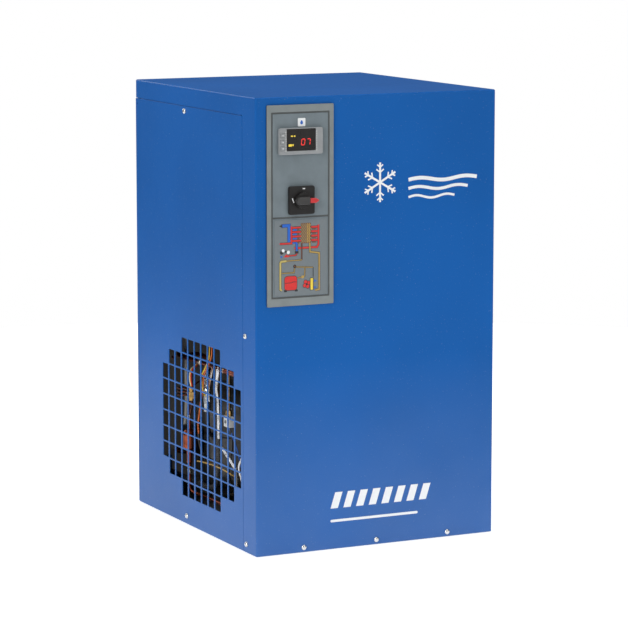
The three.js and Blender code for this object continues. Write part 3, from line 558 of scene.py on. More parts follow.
def stripe(points, width):
    """The outline of a line of some width through 2D points, with mitred corners."""
    left, right = [], []
    places = [Vector(point) for point in points]
    for i, place in enumerate(places):
        before = (place - places[i - 1]).normalized() if i else None
        after = (places[i + 1] - place).normalized() if i < len(places) - 1 else None
        along = ((before or after) + (after or before)).normalized()
        across = Vector((-along.y, along.x))
        edge = Vector((-(before or after).y, (before or after).x))
        reach = width / 2 / max(0.4, across.dot(edge))
        left.append(tuple(place + across * reach))
        right.append(tuple(place - across * reach))
    return left + right[::-1]


def print_shapes(name, shapes, face, thick, slot, body="cabinet"):
    """Ink standing a hair's breadth off a front face. Shapes are (ink, outline) pairs, later ones on top."""
    bm = bmesh.new()
    inks = list(dict.fromkeys(ink for ink, _ in shapes))
    for layer, (ink, outline) in enumerate(shapes):
        top = face - thick * (1 + layer * 0.02)
        rings = [[stand("y", u, v, y) for u, v in outline] for y in (top, face + 0.02)]
        for one in skin(bm, rings):
            one.material_index = inks.index(ink)
    bmesh.ops.recalc_face_normals(bm, faces=bm.faces)
    return finished(name, plain_mesh(bm, name), [INK[ink] for ink in inks], slot, body=body)


# ---- Camera, floor and lights ----


def camera():
    data = given(bpy.data.cameras.new("camera"), lens=168.0, sensor_width=36, clip_end=60)
    made = linked("camera", data)
    made.location = (-2.2924, -4.6819, 1.1394)
    made.rotation_euler = Vector((0.43592, 0.88809, -0.14583)).to_track_quat("-Z", "Y").to_euler()
    bpy.context.scene.camera = made


def light(name, place, aim, size, power):
    data = given(bpy.data.lights.new(name, "AREA"), shape="DISK", size=size, energy=power)
    made = linked(name, data)
    made.location = place
    made.rotation_euler = (Vector(aim) - Vector(place)).to_track_quat("-Z", "Y").to_euler()


def surroundings():
    """White where the camera sees them, and a weak cool light everywhere else."""
    world = bpy.data.worlds.new("world")
    bpy.context.scene.world = world
    world.use_nodes = True
    tree = world.node_tree
    tree.nodes.clear()
    output = tree.nodes.new("ShaderNodeOutputWorld")
    path = tree.nodes.new("ShaderNodeLightPath")
    mix = tree.nodes.new("ShaderNodeMixShader")
    tree.links.new(path.outputs["Is Camera Ray"], mix.inputs[0])
    for socket, colour, strength in ((1, (0.93, 0.96, 1, 1), 0.16), (2, (1, 1, 1, 1), 1)):
        background = fed(tree.nodes.new("ShaderNodeBackground"), Color=colour, Strength=strength)
        tree.links.new(background.outputs[0], mix.inputs[socket])
    tree.links.new(mix.outputs[0], output.inputs[0])


def studio():
    bm = bmesh.new()
    bmesh.ops.create_circle(bm, cap_ends=True, segments=96, radius=2.4)
    floor = linked("floor", plain_mesh(bm, "floor"))
    floor.location.z = -0.5 * MM
    floor.data.materials.append(studio_floor("floor"))
    surroundings()
    centre = (0, 0, 0.4)
    light("key", (-3.6, -2.2, 1.9), centre, 2.4, 92)
    light("fill", (1.9, -4.0, 1.9), centre, 2.6, 40)
    light("overhead", (0.1, -0.4, 3.6), (0, 0, 0.3), 3.0, 66)
    light("rear_right", (3.9, 1.1, 1.9), centre, 2.4, 62)
    light("rear_left", (-1.6, 4.0, 2.3), centre, 2.4, 50)
    bpy.context.scene.view_settings.view_transform = "Standard"


# ---- Cabinet ----


def wall(side, inner, outer, ys, zs):
    """A box's corners, between two distances from the middle, on the left (-1) or the right (1)."""
    x0, x1 = sorted((side * inner, side * outer))
    return (x0, ys[0], zs[0]), (x1, ys[1], zs[1])


def cover():
    """The front and top sheet: faces at right angles, whose folds are rounded, then given thickness."""
    opening = FIELD["half"] - 1
    xs = [-RIGHT, BOARD_X - opening, BOARD_X + opening, RIGHT]
    zs = [FOOT, FIELD["low"], HEIGHT - BRIM, FIELD["high"], HEIGHT]
    ys = [FRONT, FRONT + RETURN, BACK]
    bm = bmesh.new()

    def quads(place, us, vs, skip=()):
        for i, (u0, u1) in enumerate(zip(us, us[1:])):
            for j, (v0, v1) in enumerate(zip(vs, vs[1:])):
                if (i, j) not in skip:
                    corners = ((u0, v0), (u1, v0), (u1, v1), (u0, v1))
                    bm.faces.new([bm.verts.new(Vector(place(u, v)) * MM) for u, v in corners])

    quads(lambda u, v: (u, FRONT, v), xs, zs, {(1, 1), (1, 2)})
    quads(lambda u, v: (u, v, HEIGHT), xs, ys)
    quads(lambda u, v: (u, BACK, v), xs, zs[2:])
    for side in (-RIGHT, RIGHT):
        quads(lambda u, v: (side, u, v), ys[:2], zs)
        quads(lambda u, v: (side, u, v), ys[1:], zs[2:])
    bmesh.ops.remove_doubles(bm, verts=bm.verts, dist=1e-6)
    bmesh.ops.recalc_face_normals(bm, faces=bm.faces)
    top = max(bm.faces, key=lambda f: f.calc_center_median().z)
    if top.normal.z < 0:
        bmesh.ops.reverse_faces(bm, faces=bm.faces)
    folds = [e for e in bm.edges if len(e.link_faces) == 2 and e.calc_face_angle(0) > 1]
    bmesh.ops.bevel(bm, geom=folds, offset=2.6 * MM, segments=5, affect="EDGES", profile=0.5)
    made = finished(
        "cover", plain_mesh(bm, "cover"), BLUE, "cabinet_blue", "front_top_cover", angle=40, weighted=False)
    given(made.modifiers.new("sheet", "SOLIDIFY"), thickness=SHEET * MM, offset=-1)
    rim = made.modifiers.new("rim", "BEVEL")
    given(rim, width=0.3 * MM, segments=2, angle_limit=math.radians(50))
    made.modifiers.new("normals", "WEIGHTED_NORMAL").keep_sharp = True

    step, along = HEIGHT - BRIM, (-198, 235)
    hang, shelf = (step - 18, step + SHEET), (step, step + SHEET)
    boxes = [wall(side, FLANGE_IN, FLANGE_OUT, along, hang) for side in (-1, 1)]
    boxes += [wall(side, FLANGE_IN, RIGHT * 0.998, along, shelf) for side in (-1, 1)]
    boxes.append(((-215, BACK - 2 * SHEET - GAP, hang[0]), (215, BACK - SHEET - GAP, hang[1])))
    bricks("cover_lips", boxes, BLUE, "cabinet_blue", edge=0.2)


def slot_outlines():
    """The grille's rows of slots, centred on the fan."""
    outlines = []
    for row, count in enumerate(SLOT_ROWS):
        z = FAN_Z + ((len(SLOT_ROWS) - 1) / 2 - row) * SLOT["pitch_z"]
        for i in range(count):
            y = FAN_Y + ((count - 1) / 2 - i) * SLOT["pitch_y"]
            outlines.append(rounded((y, z), (SLOT["wide"] / 2, SLOT["high"] / 2), SLOT["corner"], 3))
    return outlines


def side_panel(side, name):
    """A side sheet with its grille and the flange that laps behind the cover's return."""
    centre = ((PANEL_FRONT + PANEL_BACK) / 2, (FOOT + PANEL_TOP) / 2)
    half = ((PANEL_BACK - PANEL_FRONT) / 2, (PANEL_TOP - FOOT) / 2)
    holes = slot_outlines() + [circle((PANEL_BACK - 4.1, 740.6), 1.7, 16)]
    low, high = sorted((side * (RIGHT - SHEET), side * RIGHT))
    bm = slab(rounded(centre, half, 0.8, 3), holes, "x", low, high, 0.35)
    flange = wall(side, FLANGE_IN, FLANGE_OUT, (PANEL_FRONT - 21.5, PANEL_FRONT + SHEET), FLANGE_HEIGHTS)
    brick(bm, *flange, 0.2)
    piece(f"{name}_sheet", bm, BLUE, "cabinet_blue", f"{name}_panel")


def back_panel():
    """The back sheet with its holes, its air slots and a flange down each side."""
    holes = [circle((side * PORT_X, PORT_Z), 18.5, 48) for side in (-1, 1)]
    holes += [circle(GLAND, 8.8), circle(DRAIN_OUT, 7.8)]
    holes += [rounded((-140, 503.5 + i * 22), (50, 3.5), 3.4, 6) for i in range(6)]
    outline = rounded((0, (FOOT + PANEL_TOP) / 2), (RIGHT, (PANEL_TOP - FOOT) / 2), 0.8, 3)
    bm = slab(outline, holes, "y", BACK - SHEET, BACK, 0.35)
    for side in (-1, 1):
        flange = wall(side, FLANGE_IN, FLANGE_OUT, (BACK - 18, BACK - SHEET / 2), FLANGE_HEIGHTS)
        brick(bm, *flange, 0.2)
    piece("back_sheet", bm, BLUE, "cabinet_blue", "back_panel")


def screw_mesh():
    """A pan head with a cross recess, standing on +Z at the origin."""
    profile = [(0, 3.4), (1.2, 3.36), (2.4, 3.1), (3.5, 2.5), (4.3, 1.6), (4.75, 0.7), (4.8, 0.3),
               (4.7, 0.05), (2.2, 0), (2.0, -6), (1.2, -8), (0, -8.4)]
    head = lathe("screw_blank", profile, "z", (0, 0), SCREW, "screw_steel", sides=40)
    bars = [((-long, -short, 2.3), (long, short, 4.4)) for long, short in ((2.2, 0.4), (0.4, 2.2))]
    cutter = bricks("screw_cutter", bars, SCREW, "screw_steel", edge=0)
    given(head.modifiers.new("cross", "BOOLEAN"), object=cutter, operation="DIFFERENCE", solver="EXACT")
    graph = bpy.context.evaluated_depsgraph_get()
    mesh = bpy.data.meshes.new_from_object(head.evaluated_get(graph))
    for one in (head, cutter):
        bpy.data.objects.remove(one)
    return mesh


def screws():
    """Screws that share one mesh, each turned by its own angle."""
    shape = screw_mesh()
    turn = random.Random(3)

    def put(name, place, normal, node=None):
        made = linked(name, shape)
        spin = Matrix.Rotation(turn.uniform(0, math.pi / 2), 4, "Z")
        facing = Vector(normal).to_track_quat("Z", "Y").to_matrix().to_4x4()
        made.matrix_world = Matrix.Translation(Vector(place) * MM) @ facing @ spin
        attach(made, "cabinet")
        if node:
            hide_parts(node)

    for i, x in enumerate((-140, 0, 140)):
        put(f"screw_front_{i + 1}", (x, FRONT, 9), (0, -1, 0), f"front_screw_{i + 1}")
    for i, (y, z) in enumerate(SIDE_SCREWS):
        put(f"screw_left_{i + 1}", (-RIGHT, y, z), (-1, 0, 0), f"left_screw_{i + 1}")
        put(f"screw_right_{i + 1}", (RIGHT, y, z), (1, 0, 0))
    for x in (-217, 217):
        for z in (15, 250, 490, 736):
            put(f"screw_back_{'l' if x < 0 else 'r'}_{z}", (x, BACK, z), (0, 1, 0))


# ---- Front controls ----


def control_board():
    """The grey board: a floor, a raised rim and two raised fields, with grooves between them whose dark floor
    is painted shade.
    """
    outline = rounded(BOARD, BOARD_HALF, 1.5)
    holes = [rounded((BOARD_X, BEZEL_CENTRE[1]), (35.6, 17.6), 1), circle(SWITCH, 8)]
    # Painted shade: the floor shows only in the grooves, and its dark colour stands for their shade.
    plate("control_board_floor", outline, holes, "y", BOARD_FACE + 1, BOARD_BACK, GROOVE_SHADE, "panel_grey",
          edge=0.2)
    bottom, divider, top = FIELD["low"], FIELD["divider"], FIELD["high"]
    opening = rounded((BOARD_X, (bottom + top) / 2), (FIELD["half"], (top - bottom) / 2), 1.5)
    raised = (BOARD_FACE, BOARD_FACE + 1.1)
    plate("control_board_rim", outline, [opening], "y", *raised, GREY_RIM, "panel_grey", "control_panel",
          edge=0.35)
    for name, low, high, cut in (
        ("upper", divider + GROOVE / 2, top - GROOVE, holes),
        ("lower", bottom + GROOVE, divider - GROOVE / 2, []),
    ):
        shape = rounded((BOARD_X, (low + high) / 2), (FIELD["half"] - GROOVE, (high - low) / 2), 1)
        plate(f"control_board_{name}_field", shape, cut, "y", *raised, GREY_BOARD, "panel_grey", edge=0.35)


def badge():
    """A plain white tile with a drop on it, at the top of the board."""
    x, drop = BOARD_X + 2, []
    for i in range(20):
        angle = math.tau * i / 20
        radius = 2.6 + 1.9 * max(0, math.cos(angle)) ** 6
        drop.append((x + radius * math.sin(angle), 739.4 + radius * math.cos(angle)))
    tile = rounded((x, 740.5), (7, 7), 1.6)
    print_shapes("badge", [("white", tile), ("blue", drop)], BOARD_FACE, 0.3, "diagram")


def flow_diagram():
    """The circuit drawn on the label in coloured lines: warm air red, cold air blue, refrigerant yellow."""
    face, back, middle_point, half_size = front_of("flow_diagram_label")
    plate("diagram_label", rounded(middle_point, half_size, 1.2), [], "y", face, back, LABEL, "diagram",
          "flow_diagram_label", edge=0.1)
    wide, tall = 2 * half_size[0], 2 * half_size[1]
    x0, z0 = middle_point[0] - wide / 2, middle_point[1] - tall / 2
    shapes = []

    def at(points):
        return [(x0 + u * wide, z0 + v * tall) for u, v in points]

    def pipe(ink, points, width, outlined=True):
        if outlined:
            shapes.append(("black", stripe(at(points), width + 1.2)))
        shapes.append((ink, stripe(at(points), width)))

    def area(ink, u0, v0, u1, v1, corner=0.4):
        half = ((u1 - u0) / 2 * wide, (v1 - v0) / 2 * tall)
        centre = (x0 + (u0 + u1) / 2 * wide, z0 + (v0 + v1) / 2 * tall)
        shapes.append((ink, rounded(centre, half, min(corner, *half), 3)))

    def dot(ink, u, v, radius):
        shapes.append((ink, circle((x0 + u * wide, z0 + v * tall), radius, 20)))

    # Air leaves at the left, cold and dry, and comes in warm at the right.
    pipe("blue", [(0.13, 0.926), (0.275, 0.928), (0.275, 0.71)], 5.2)
    shapes.append(("black", at([(0.085, 0.926), (0.15, 0.948), (0.15, 0.904)])))
    pipe("red", [(0.10, 0.692), (0.322, 0.690), (0.322, 0.915)], 2.6)
    pipe("red", [(0.835, 0.92), (0.835, 0.66), (0.81, 0.624), (0.375, 0.624)], 3.0)
    for row in range(4):
        v = 0.895 - row * 0.058
        area("black", 0.33, v - 0.017, 0.50, v + 0.017)
        area("red", 0.33, v - 0.011, 0.50, v + 0.011)
        area("blue", 0.345, v - 0.037, 0.425, v - 0.018)
        area("brown", 0.43, v - 0.037, 0.475, v - 0.02)
        area("black", 0.69, v - 0.019, 0.815, v + 0.015)
        area("red", 0.70, v - 0.013, 0.815, v + 0.011)
        area("brown", 0.715, v - 0.036, 0.79, v - 0.021)

    # The exchanger's coils.
    area("brown", 0.50, 0.683, 0.69, 0.95)
    for column in range(5):
        u = 0.522 + column * 0.036
        zigzag = [(u + (0.011 if k % 2 else -0.011), 0.692 + k * 0.021) for k in range(13)]
        shapes.append(("gold" if column > 2 else "tan", stripe(at(zigzag), 1.7)))

    # The separator's blue drop pipe, and its drain with a float.
    pipe("blue", [(0.4215, 0.69), (0.4215, 0.585)], 3.6)
    area("black", 0.385, 0.552, 0.455, 0.585)
    pipe("red", [(0.43, 0.55), (0.40, 0.532), (0.25, 0.527)], 1.6)
    shapes.append(("red", at([(0.17, 0.512), (0.28, 0.512), (0.225, 0.552)])))
    dot("black", 0.135, 0.575, 3.2)
    dot("white", 0.165, 0.600, 2.7)
    dot("black", 0.215, 0.585, 2.0)
    dot("white", 0.262, 0.576, 2.9)
    dot("blue", 0.13, 0.52, 1.7)

    # Refrigerant: down both sides, and a bypass across the middle.
    pipe("gold", [(0.67, 0.685), (0.675, 0.567), (0.85, 0.545), (0.85, 0.06), (0.775, 0.053)], 2.6)
    pipe("brown", [(0.517, 0.685), (0.517, 0.468)], 1.6)
    pipe("gold", [(0.517, 0.466), (0.225, 0.461)], 1.4)
    pipe("yellow", [(0.225, 0.461), (0.125, 0.457), (0.11, 0.44), (0.11, 0.09), (0.14, 0.075)], 3.4)
    pipe("gold", [(0.14, 0.302), (0.37, 0.302), (0.383, 0.378), (0.735, 0.358)], 1.3)
    pipe("black", [(0.735, 0.36), (0.735, 0.23)], 1.2, False)
    pipe("gold", [(0.578, 0.366), (0.572, 0.25), (0.44, 0.226)], 1.3)
    dot("black", 0.383, 0.385, 3.0)
    dot("brown", 0.383, 0.385, 1.4)
    dot("gold", 0.535, 0.24, 2.6)

    # The compressor, the fan and the condenser.
    area("black", 0.185, 0.066, 0.43, 0.262, 5)
    area("red", 0.192, 0.074, 0.423, 0.256, 4.6)
    pipe("black", [(0.20, 0.167), (0.335, 0.171), (0.345, 0.18), (0.415, 0.18)], 1.0, False)
    for u in (0.18, 0.385):
        area("black", u, 0.052, u + 0.055, 0.078)
    for turn in range(4):
        angle = math.tau * turn / 4 + 0.5
        blade = (x0 + 0.61 * wide + 4.0 * math.cos(angle), z0 + 0.139 * tall + 4.4 * math.sin(angle))
        shapes += [("black", circle(blade, 3.9, 20)), ("red", circle(blade, 3.1, 20))]
    dot("black", 0.61, 0.139, 2.0)
    area("black", 0.673, 0.055, 0.742, 0.222)
    area("lemon", 0.684, 0.062, 0.731, 0.215)
    for v in (0.175, 0.088):
        shapes.append(("blue", at([(0.755, v + 0.022), (0.755, v - 0.016), (0.80, v + 0.003)])))
    print_shapes("flow_diagram", shapes, face, 0.12, "diagram")


def controller():
    """The controller's bezel with its recessed window and strips, the keys and the lit display."""
    x, z = BEZEL_CENTRE
    back = BOARD_FACE - GAP
    lens_face, lens_back, window, window_half = front_of("display_lens")
    keys = {name: front_of(f"key_{name}") for name in ("set", "up", "down")}
    holes = [rounded(window, [half + GAP for half in window_half], 1.2)]
    holes += [rounded(centre, (4.3, 3.3), 1.2, 3) for _, _, centre, _ in keys.values()]
    bm = slab(rounded(BEZEL_CENTRE, BEZEL_HALF, 3.2, 6), holes, "y", BEZEL_FACE, back, 0.6)
    brick(bm, (x - 39, back - 1.2, z - 21), (x + 39, back - 0.2, z + 21), 0.2)
    brick(bm, (BOARD_X - 35, back, 691), (BOARD_X + 35, BEZEL_BACK, 725), 1)
    piece("controller_case", bm, BEZEL, "bezel_grey", "controller_housing")
    plate("display_window", rounded(window, window_half, 1.0), [], "y", lens_face + 0.15, lens_back, SMOKED,
          "display", "display_lens", edge=0.25)
    for side, name in ((-1, "left"), (1, "right")):
        u = window[0] + side * (window_half[0] + 1.9)
        heights = [z - 16.8 + i * 3.9 for i in range(9)]
        bars = [((u - 0.9, BEZEL_FACE - 0.25, v), (u + 0.9, BEZEL_FACE + 0.3, v + 2.9)) for v in heights]
        bricks(f"display_strip_{name}", bars, PALE, "bezel_grey", edge=0.2)
    display(window, lens_face + 0.15)
    marks = {
        "set": rounded((0, 0), (1.5, 0.4), 0.3),
        "up": [(-1.3, -0.8), (1.3, -0.8), (0, 1.1)],
        "down": [(-1.3, 0.8), (0, -1.1), (1.3, 0.8)],
    }
    for name, (key_face, key_back, (x, z), _) in keys.items():
        plate(f"key_{name}_cap", rounded((x, z), (4, 3), 1), [], "y", key_face, key_back, BEZEL, "bezel_grey",
              f"key_{name}", f"{name}_key", edge=0.6)
        mark = [(x + u, z + v) for u, v in marks[name]]
        print_shapes(f"key_{name}_mark", [("white", mark)], key_face, 0.08, "white_plastic", f"{name}_key")


def display(centre, face):
    """Two seven-segment digits in red, a nought and a seven, and small lit icons in yellow."""
    tall, wide, bar, slant = 11.5, 7.4, 1.5, 0.12
    reach, upper = (wide - bar) / 2, (tall - bar) / 2
    flat, upright = (wide / 2 - bar * 0.8, bar / 2), (bar / 2, tall / 4 - bar * 0.55)
    places = {
        "a": (0, upper, flat), "b": (reach, upper / 2, upright), "c": (reach, -upper / 2, upright),
        "d": (0, -upper, flat), "e": (-reach, -upper / 2, upright), "f": (-reach, upper / 2, upright),
    }
    bm = bmesh.new()
    for lit, x in (("abcdef", centre[0] + 3.5), ("abc", centre[0] + 13.5)):
        for u, v, half in [places[segment] for segment in lit]:
            outline = rounded((u, v), half, 0.5, 2)
            shape = [(x + a + slant * b, centre[1] - 4 + b) for a, b in outline]
            append(bm, slab(shape, [], "y", face - 0.12, face + 0.1, 0.04))
    piece("display_digits", bm, DIGIT_RED, "display")
    bm = bmesh.new()
    for u, v, half in ((-17.5, 6.4, (2.0, 1.1)), (-12.5, 6.4, (1.5, 1.1)), (-20.5, -9.0, (3.2, 2.0)),
                       (-15.5, -8.6, (1.2, 1.6))):
        icon = rounded((centre[0] + u, centre[1] + v), half, 0.8, 3)
        append(bm, slab(icon, [], "y", face - 0.1, face + 0.1, 0.04))
    piece("display_icons", bm, ICON_YELLOW, "display")


def main_switch():
    """The switch's square plate with its marks, the ribbed dial, the knob's grip and the red pointer."""
    plate("switch_base", rounded(SWITCH, SWITCH_HALF, 3.5, 6), [circle(SWITCH, 6)], "y", SWITCH_FACE,
          SWITCH_BACK, BLACK, "switch_black", "switch_plate", edge=1.2)
    marks = [rounded((SWITCH_X + 3.2, SWITCH_Z + 19.8), (2.3, 0.9), 0.5),
             stripe([(SWITCH_X - 18.4, SWITCH_Z + 4.2), (SWITCH_X - 15.6, SWITCH_Z - 3.4)], 1.7)]
    print_shapes("switch_marks", [("white", mark) for mark in marks], SWITCH_FACE, 0.1, "white_plastic")

    low, high = span("switch_handle")
    dial, grip_back, half = high.z - SWITCH_Z, SWITCH_FACE - 6, 6.5
    notched = loop(SWITCH, [dial if i % 3 else dial - 0.5 for i in range(72)])
    plate("switch_dial", notched, [], "y", grip_back, SWITCH_FACE - GAP, BLACK, "switch_dark",
          body="main_switch", edge=0.7)
    tip_face, tip_back, tip, tip_half = front_of("switch_pointer")
    left, right = tip[0] - tip_half[0], tip[0] + tip_half[0]
    grip = arc(low.x + half, SWITCH_Z, half, half, 1, 3, 14)
    grip += [(left - GAP, SWITCH_Z - half), (left - GAP, SWITCH_Z + half)]
    bm = slab(grip, [], "y", low.y, grip_back + 1, 1.4)
    append(bm, turned(rod(4, SWITCH_FACE, high.y), "y", SWITCH, 24))
    piece("switch_knob", bm, KNOB, "switch_dark", "switch_handle", "main_switch")
    arrow = [(left, -1), (right - 5, -1), (right - 1, -0.45), (right, -0.2)]
    arrow += [(u, -v) for u, v in reversed(arrow)]
    plate("switch_tip", [(u, SWITCH_Z + v * tip_half[1]) for u, v in arrow], [], "y", tip_face, tip_back, RED,
          "signal_red", "switch_pointer", "main_switch", edge=0.9)


def front_graphics():
    """Plain white vinyl: a snowflake and three waves high up, slanted bars and a stripe low down."""
    shapes = []
    start = 60
    for i, end in enumerate((194, 176, 150)):
        z = 634 - i * 15
        points = [(start + (end - start) * t / 24, z + 2.6 * math.sin(t / 16 * math.tau)) for t in range(25)]
        shapes.append(stripe(points, 6.4 - i * 1.2))
    centre = Vector((5, 632))
    for i in range(6):
        angle = math.radians(60 * i + 30)
        outwards = Vector((math.cos(angle), math.sin(angle)))
        shapes.append(stripe([centre, centre + outwards * 34], 3.6))
        for r, reach in ((17, 9), (26, 7)):
            for lean in (-0.9, 0.9):
                root = centre + outwards * r
                tip = root + Vector((math.cos(angle + lean), math.sin(angle + lean))) * reach
                shapes.append(stripe([root, tip], 2.4))
    for i in range(8):
        left = -89 + i * 24.6
        shapes.append([(left, 72), (left + 14, 72), (left + 23, 100), (left + 9, 100)])
    shapes.append(rounded((-4, 50), (85, 2.2), 2.1, 6))
    print_shapes("front_graphics", [("white", shape) for shape in shapes], FRONT, 0.12, "white_plastic")


# ---- Inside: refrigeration ----


def compressor():
    """A bowl and a dome, oval in plan. The dome's rim laps over the bowl."""
    low, high = span("compressor_lower_shell")
    upper_low, upper_high = span("compressor_upper_shell")
    bottom, seam, rim, top = low.z, high.z, upper_low.z, upper_high.z
    radius = (high.x - low.x) / 2
    plan = {"sides": 72, "oval": (high.y - low.y) / 2 / radius}
    centre = (low + high).xy / 2
    bowl = [(0, bottom)] + arc(radius - 26, bottom + 26, 26, 26, -1, 0, 8)
    bowl += [(radius, seam), (radius - 3, seam), (radius - 3, bottom + 30), (radius - 24, bottom + 3),
             (0, bottom + 3)]
    lathe("compressor_bowl", bowl, "z", centre, ENAMEL, "black_paint", "compressor_lower_shell", **plan)
    dome = [(0, top - 3), (radius - 30, top - 8), (radius - 4, rim + 40), (radius - 3, rim),
            (radius + 2.8, rim), (radius + 3, rim + 1), (radius + 3, rim + 6), (radius + 1.6, rim + 7.6),
            (radius, rim + 8)]
    dome += arc(radius - 36, top - 44, 36, 44, 0, 1, 10) + [(0, top)]
    lathe("compressor_dome", dome, "z", centre, ENAMEL, "black_paint", "compressor_upper_shell", **plan)


def condenser():
    """Thin folded fins on a snaking copper tube between two end plates."""
    low, high = span("condenser_fins")
    count, folds, wave, thick = 124, 8, 1.1, 0.16
    pitch, fold = (high.y - low.y - 8) / count, (high.x - low.x - 2) / folds
    bm = bmesh.new()
    for i in range(count):
        y = low.y + 4 + (i + 0.5) * pitch
        section = [(low.x + 1 + fold * k, y + (wave if k % 2 else -wave)) for k in range(folds + 1)]
        outline = [(u, v - thick) for u, v in section] + [(u, v + thick) for u, v in reversed(section)]
        skin(bm, [[stand("z", u, v, z) for u, v in outline] for z in (low.z + 1, high.z - 1)])
    piece("condenser_fin_stack", bm, FIN, "aluminium", "condenser_fins", weighted=False)
    ends = [((low.x, y, low.z), (high.x, y + 1.6, high.z)) for y in (low.y, high.y - 1.6)]
    bricks("condenser_end_plates", ends, ZINC, "zinc", edge=0.3)

    passes, rise, front = 8, 38, -208
    x, z = (low.x + high.x) / 2, (low.z + high.z - (passes - 1) * rise) / 2
    path = [(front, z)]
    for i in range(passes - 1):
        side, y = (-1, low.y - 3) if i % 2 else (1, high.y + 3)
        path += arc(y, z + (i + 0.5) * rise, side * rise * 0.375, rise / 2, -1, 1, 12)
    path.append((front, z + (passes - 1) * rise))
    tube("condenser_coil", [stand("x", u, v, x) for u, v in path], 4.75, COPPER, "copper", "condenser_tube")


def fan_blade(turn):
    """A twisted, cambered blade, as a bmesh, at an angle round the fan's axis."""
    bm = bmesh.new()
    rows = []
    for i in range(13):
        share = i / 12
        r, width, pitch = 33 + 89 * share, 38 + 26 * math.sin(share * 1.9), 0.62 - 0.3 * share
        row = []
        for j in range(9):
            t = j / 8 - 0.5
            angle = turn + t * width * math.cos(pitch) / r - 0.1 - 0.28 * share
            x = 117 - t * width * math.sin(pitch) * 0.8 + 4 * (1 - (2 * t) ** 2)
            row.append(bm.verts.new(stand("x", FAN_Y + r * math.cos(angle), FAN_Z + r * math.sin(angle), x)))
        rows.append(row)
    for a, b in zip(rows, rows[1:]):
        for j in range(8):
            bm.faces.new((a[j], a[j + 1], b[j + 1], b[j]))
    bmesh.ops.recalc_face_normals(bm, faces=bm.faces)
    bmesh.ops.solidify(bm, geom=bm.faces[:], thickness=1.6 * MM)
    return bm


def fan():
    """Five blades on a hub, behind a wire guard round the motor."""
    hub = [(0, 99), (30, 100), (34, 102), (35, 105), (35, 126), (33, 128), (0, 128.5)]
    bm = turned(hub, "x", FAN, 40)
    append(bm, turned(rod(4, 95.6, 100), "x", FAN, 20))
    for blade in range(5):
        append(bm, fan_blade(math.tau * blade / 5))
    bmesh.ops.recalc_face_normals(bm, faces=bm.faces)
    finished("fan_wheel", plain_mesh(bm, "fan_wheel"), BLACK, "switch_black", "fan_rotor", "fan")
    guard = 97
    bm = bmesh.new()
    for radius in (42.4, 55, 68, 81, 94, 107, 120):
        append(bm, turned(arc(radius, guard, 1.4, 1.4, 0, 4, 8), "x", FAN, 72))
    piece("fan_guard_rings", bm, ZINC, "zinc", "fan_guard")
    for i in range(4):
        angle = math.tau * (i + 0.5) / 4
        points = [(x, FAN_Y + r * math.cos(angle), FAN_Z + r * math.sin(angle))
                  for x, r in ((guard + 2, 40.8), (guard + 2, 128), (123.8, 141))]
        tube(f"fan_guard_spoke_{i + 1}", route(points, 8), 1.9, ZINC, "zinc")
    motor = [(0, 48), (20, 48), (24, 50), (26, 56), (37, 57), (40, 60), (40, 92), (38, 95), (0, 95)]
    lathe("fan_motor_case", motor, "x", FAN, ENAMEL, "black_paint", "fan_motor", sides=64)
    ribs = [((61, y - 0.8, z - 0.8), (91, y + 0.8, z + 0.8)) for y, z in circle(FAN, 40, 20)]
    bricks("fan_motor_ribs", ribs, ENAMEL, "black_paint", edge=0.3)


LINES = {
    "discharge_line": (5, 20, [
        (-148, 186, 100), (RUN_X, 190, 104), (RUN_X, 190, RUN_Z), (RUN_X, -222, RUN_Z), (195, -222, RUN_Z),
        (195, -222, 324.15), (195, -208.3, 324.15)]),
    "liquid_line": (3.2, 14, [
        (195, -208.3, 58.15), (195, -222, 58.15), (195, -222, 45), (RUN_X, -222, 45), (RUN_X, 60, 45),
        (DRYER_X, DRYER_Y, 50), (DRYER_X, DRYER_Y, 84.7)]),
    "hot_gas_line": (4, 12, [
        (VALVE_X, VALVE_Y, 279.7), (VALVE_X, VALVE_Y, 262), (-120, 150, 262), (-150, 150, RUN_Z),
        (-184.4, 150, RUN_Z)]),
    "evaporator_inlet_line": (4, 16, [
        (VALVE_X, 89.5, 470), (VALVE_X, VALVE_Y, 470), (VALVE_X, VALVE_Y, 360)]),
}
JOINTS = [
    ("y", (RUN_X, RUN_Z), 60, 6.2), ("y", (RUN_X, RUN_Z), -120, 6.2), ("z", (DRYER_X, DRYER_Y), 88, 4.6),
    ("z", (DRYER_X, DRYER_Y), 186, 4.6), ("z", (VALVE_X, VALVE_Y), 372, 5.2), ("y", (195, 324.15), -214, 6),
]


def refrigerant_lines():
    """Copper lines with their brazed joints, and foam sleeves on the suction line and the discharge riser."""
    for name, (radius, bend, points) in LINES.items():
        tube(f"{name}_tube", route(points, bend), radius, COPPER, "copper", name)
    suction = [(30, 89.5, 470), (30, 48, 470), (30, 48, 340), (-68, 2, 296), (-68, 2, 170), (-68, 26, 170)]
    tube("suction_line_sleeve", route(suction, 20), 7.5, FOAM, "foam", "suction_line")
    riser = [(RUN_X, 190, 108), (RUN_X, 190, RUN_Z), (RUN_X, 160, RUN_Z)]
    tube("discharge_sleeve", route(riser, 20), 6.3, FOAM, "foam")
    for i, (axis, centre, along, radius) in enumerate(JOINTS):
        neck = radius * 0.75
        half = [(0, -5), (neck, -5), (radius, -3)]
        profile = half + [(r, -w) for r, w in reversed(half)]
        shape = [(r, along + w) for r, w in profile]
        lathe(f"brazed_joint_{i + 1}", shape, axis, centre, BRAZE, "brass", sides=24)


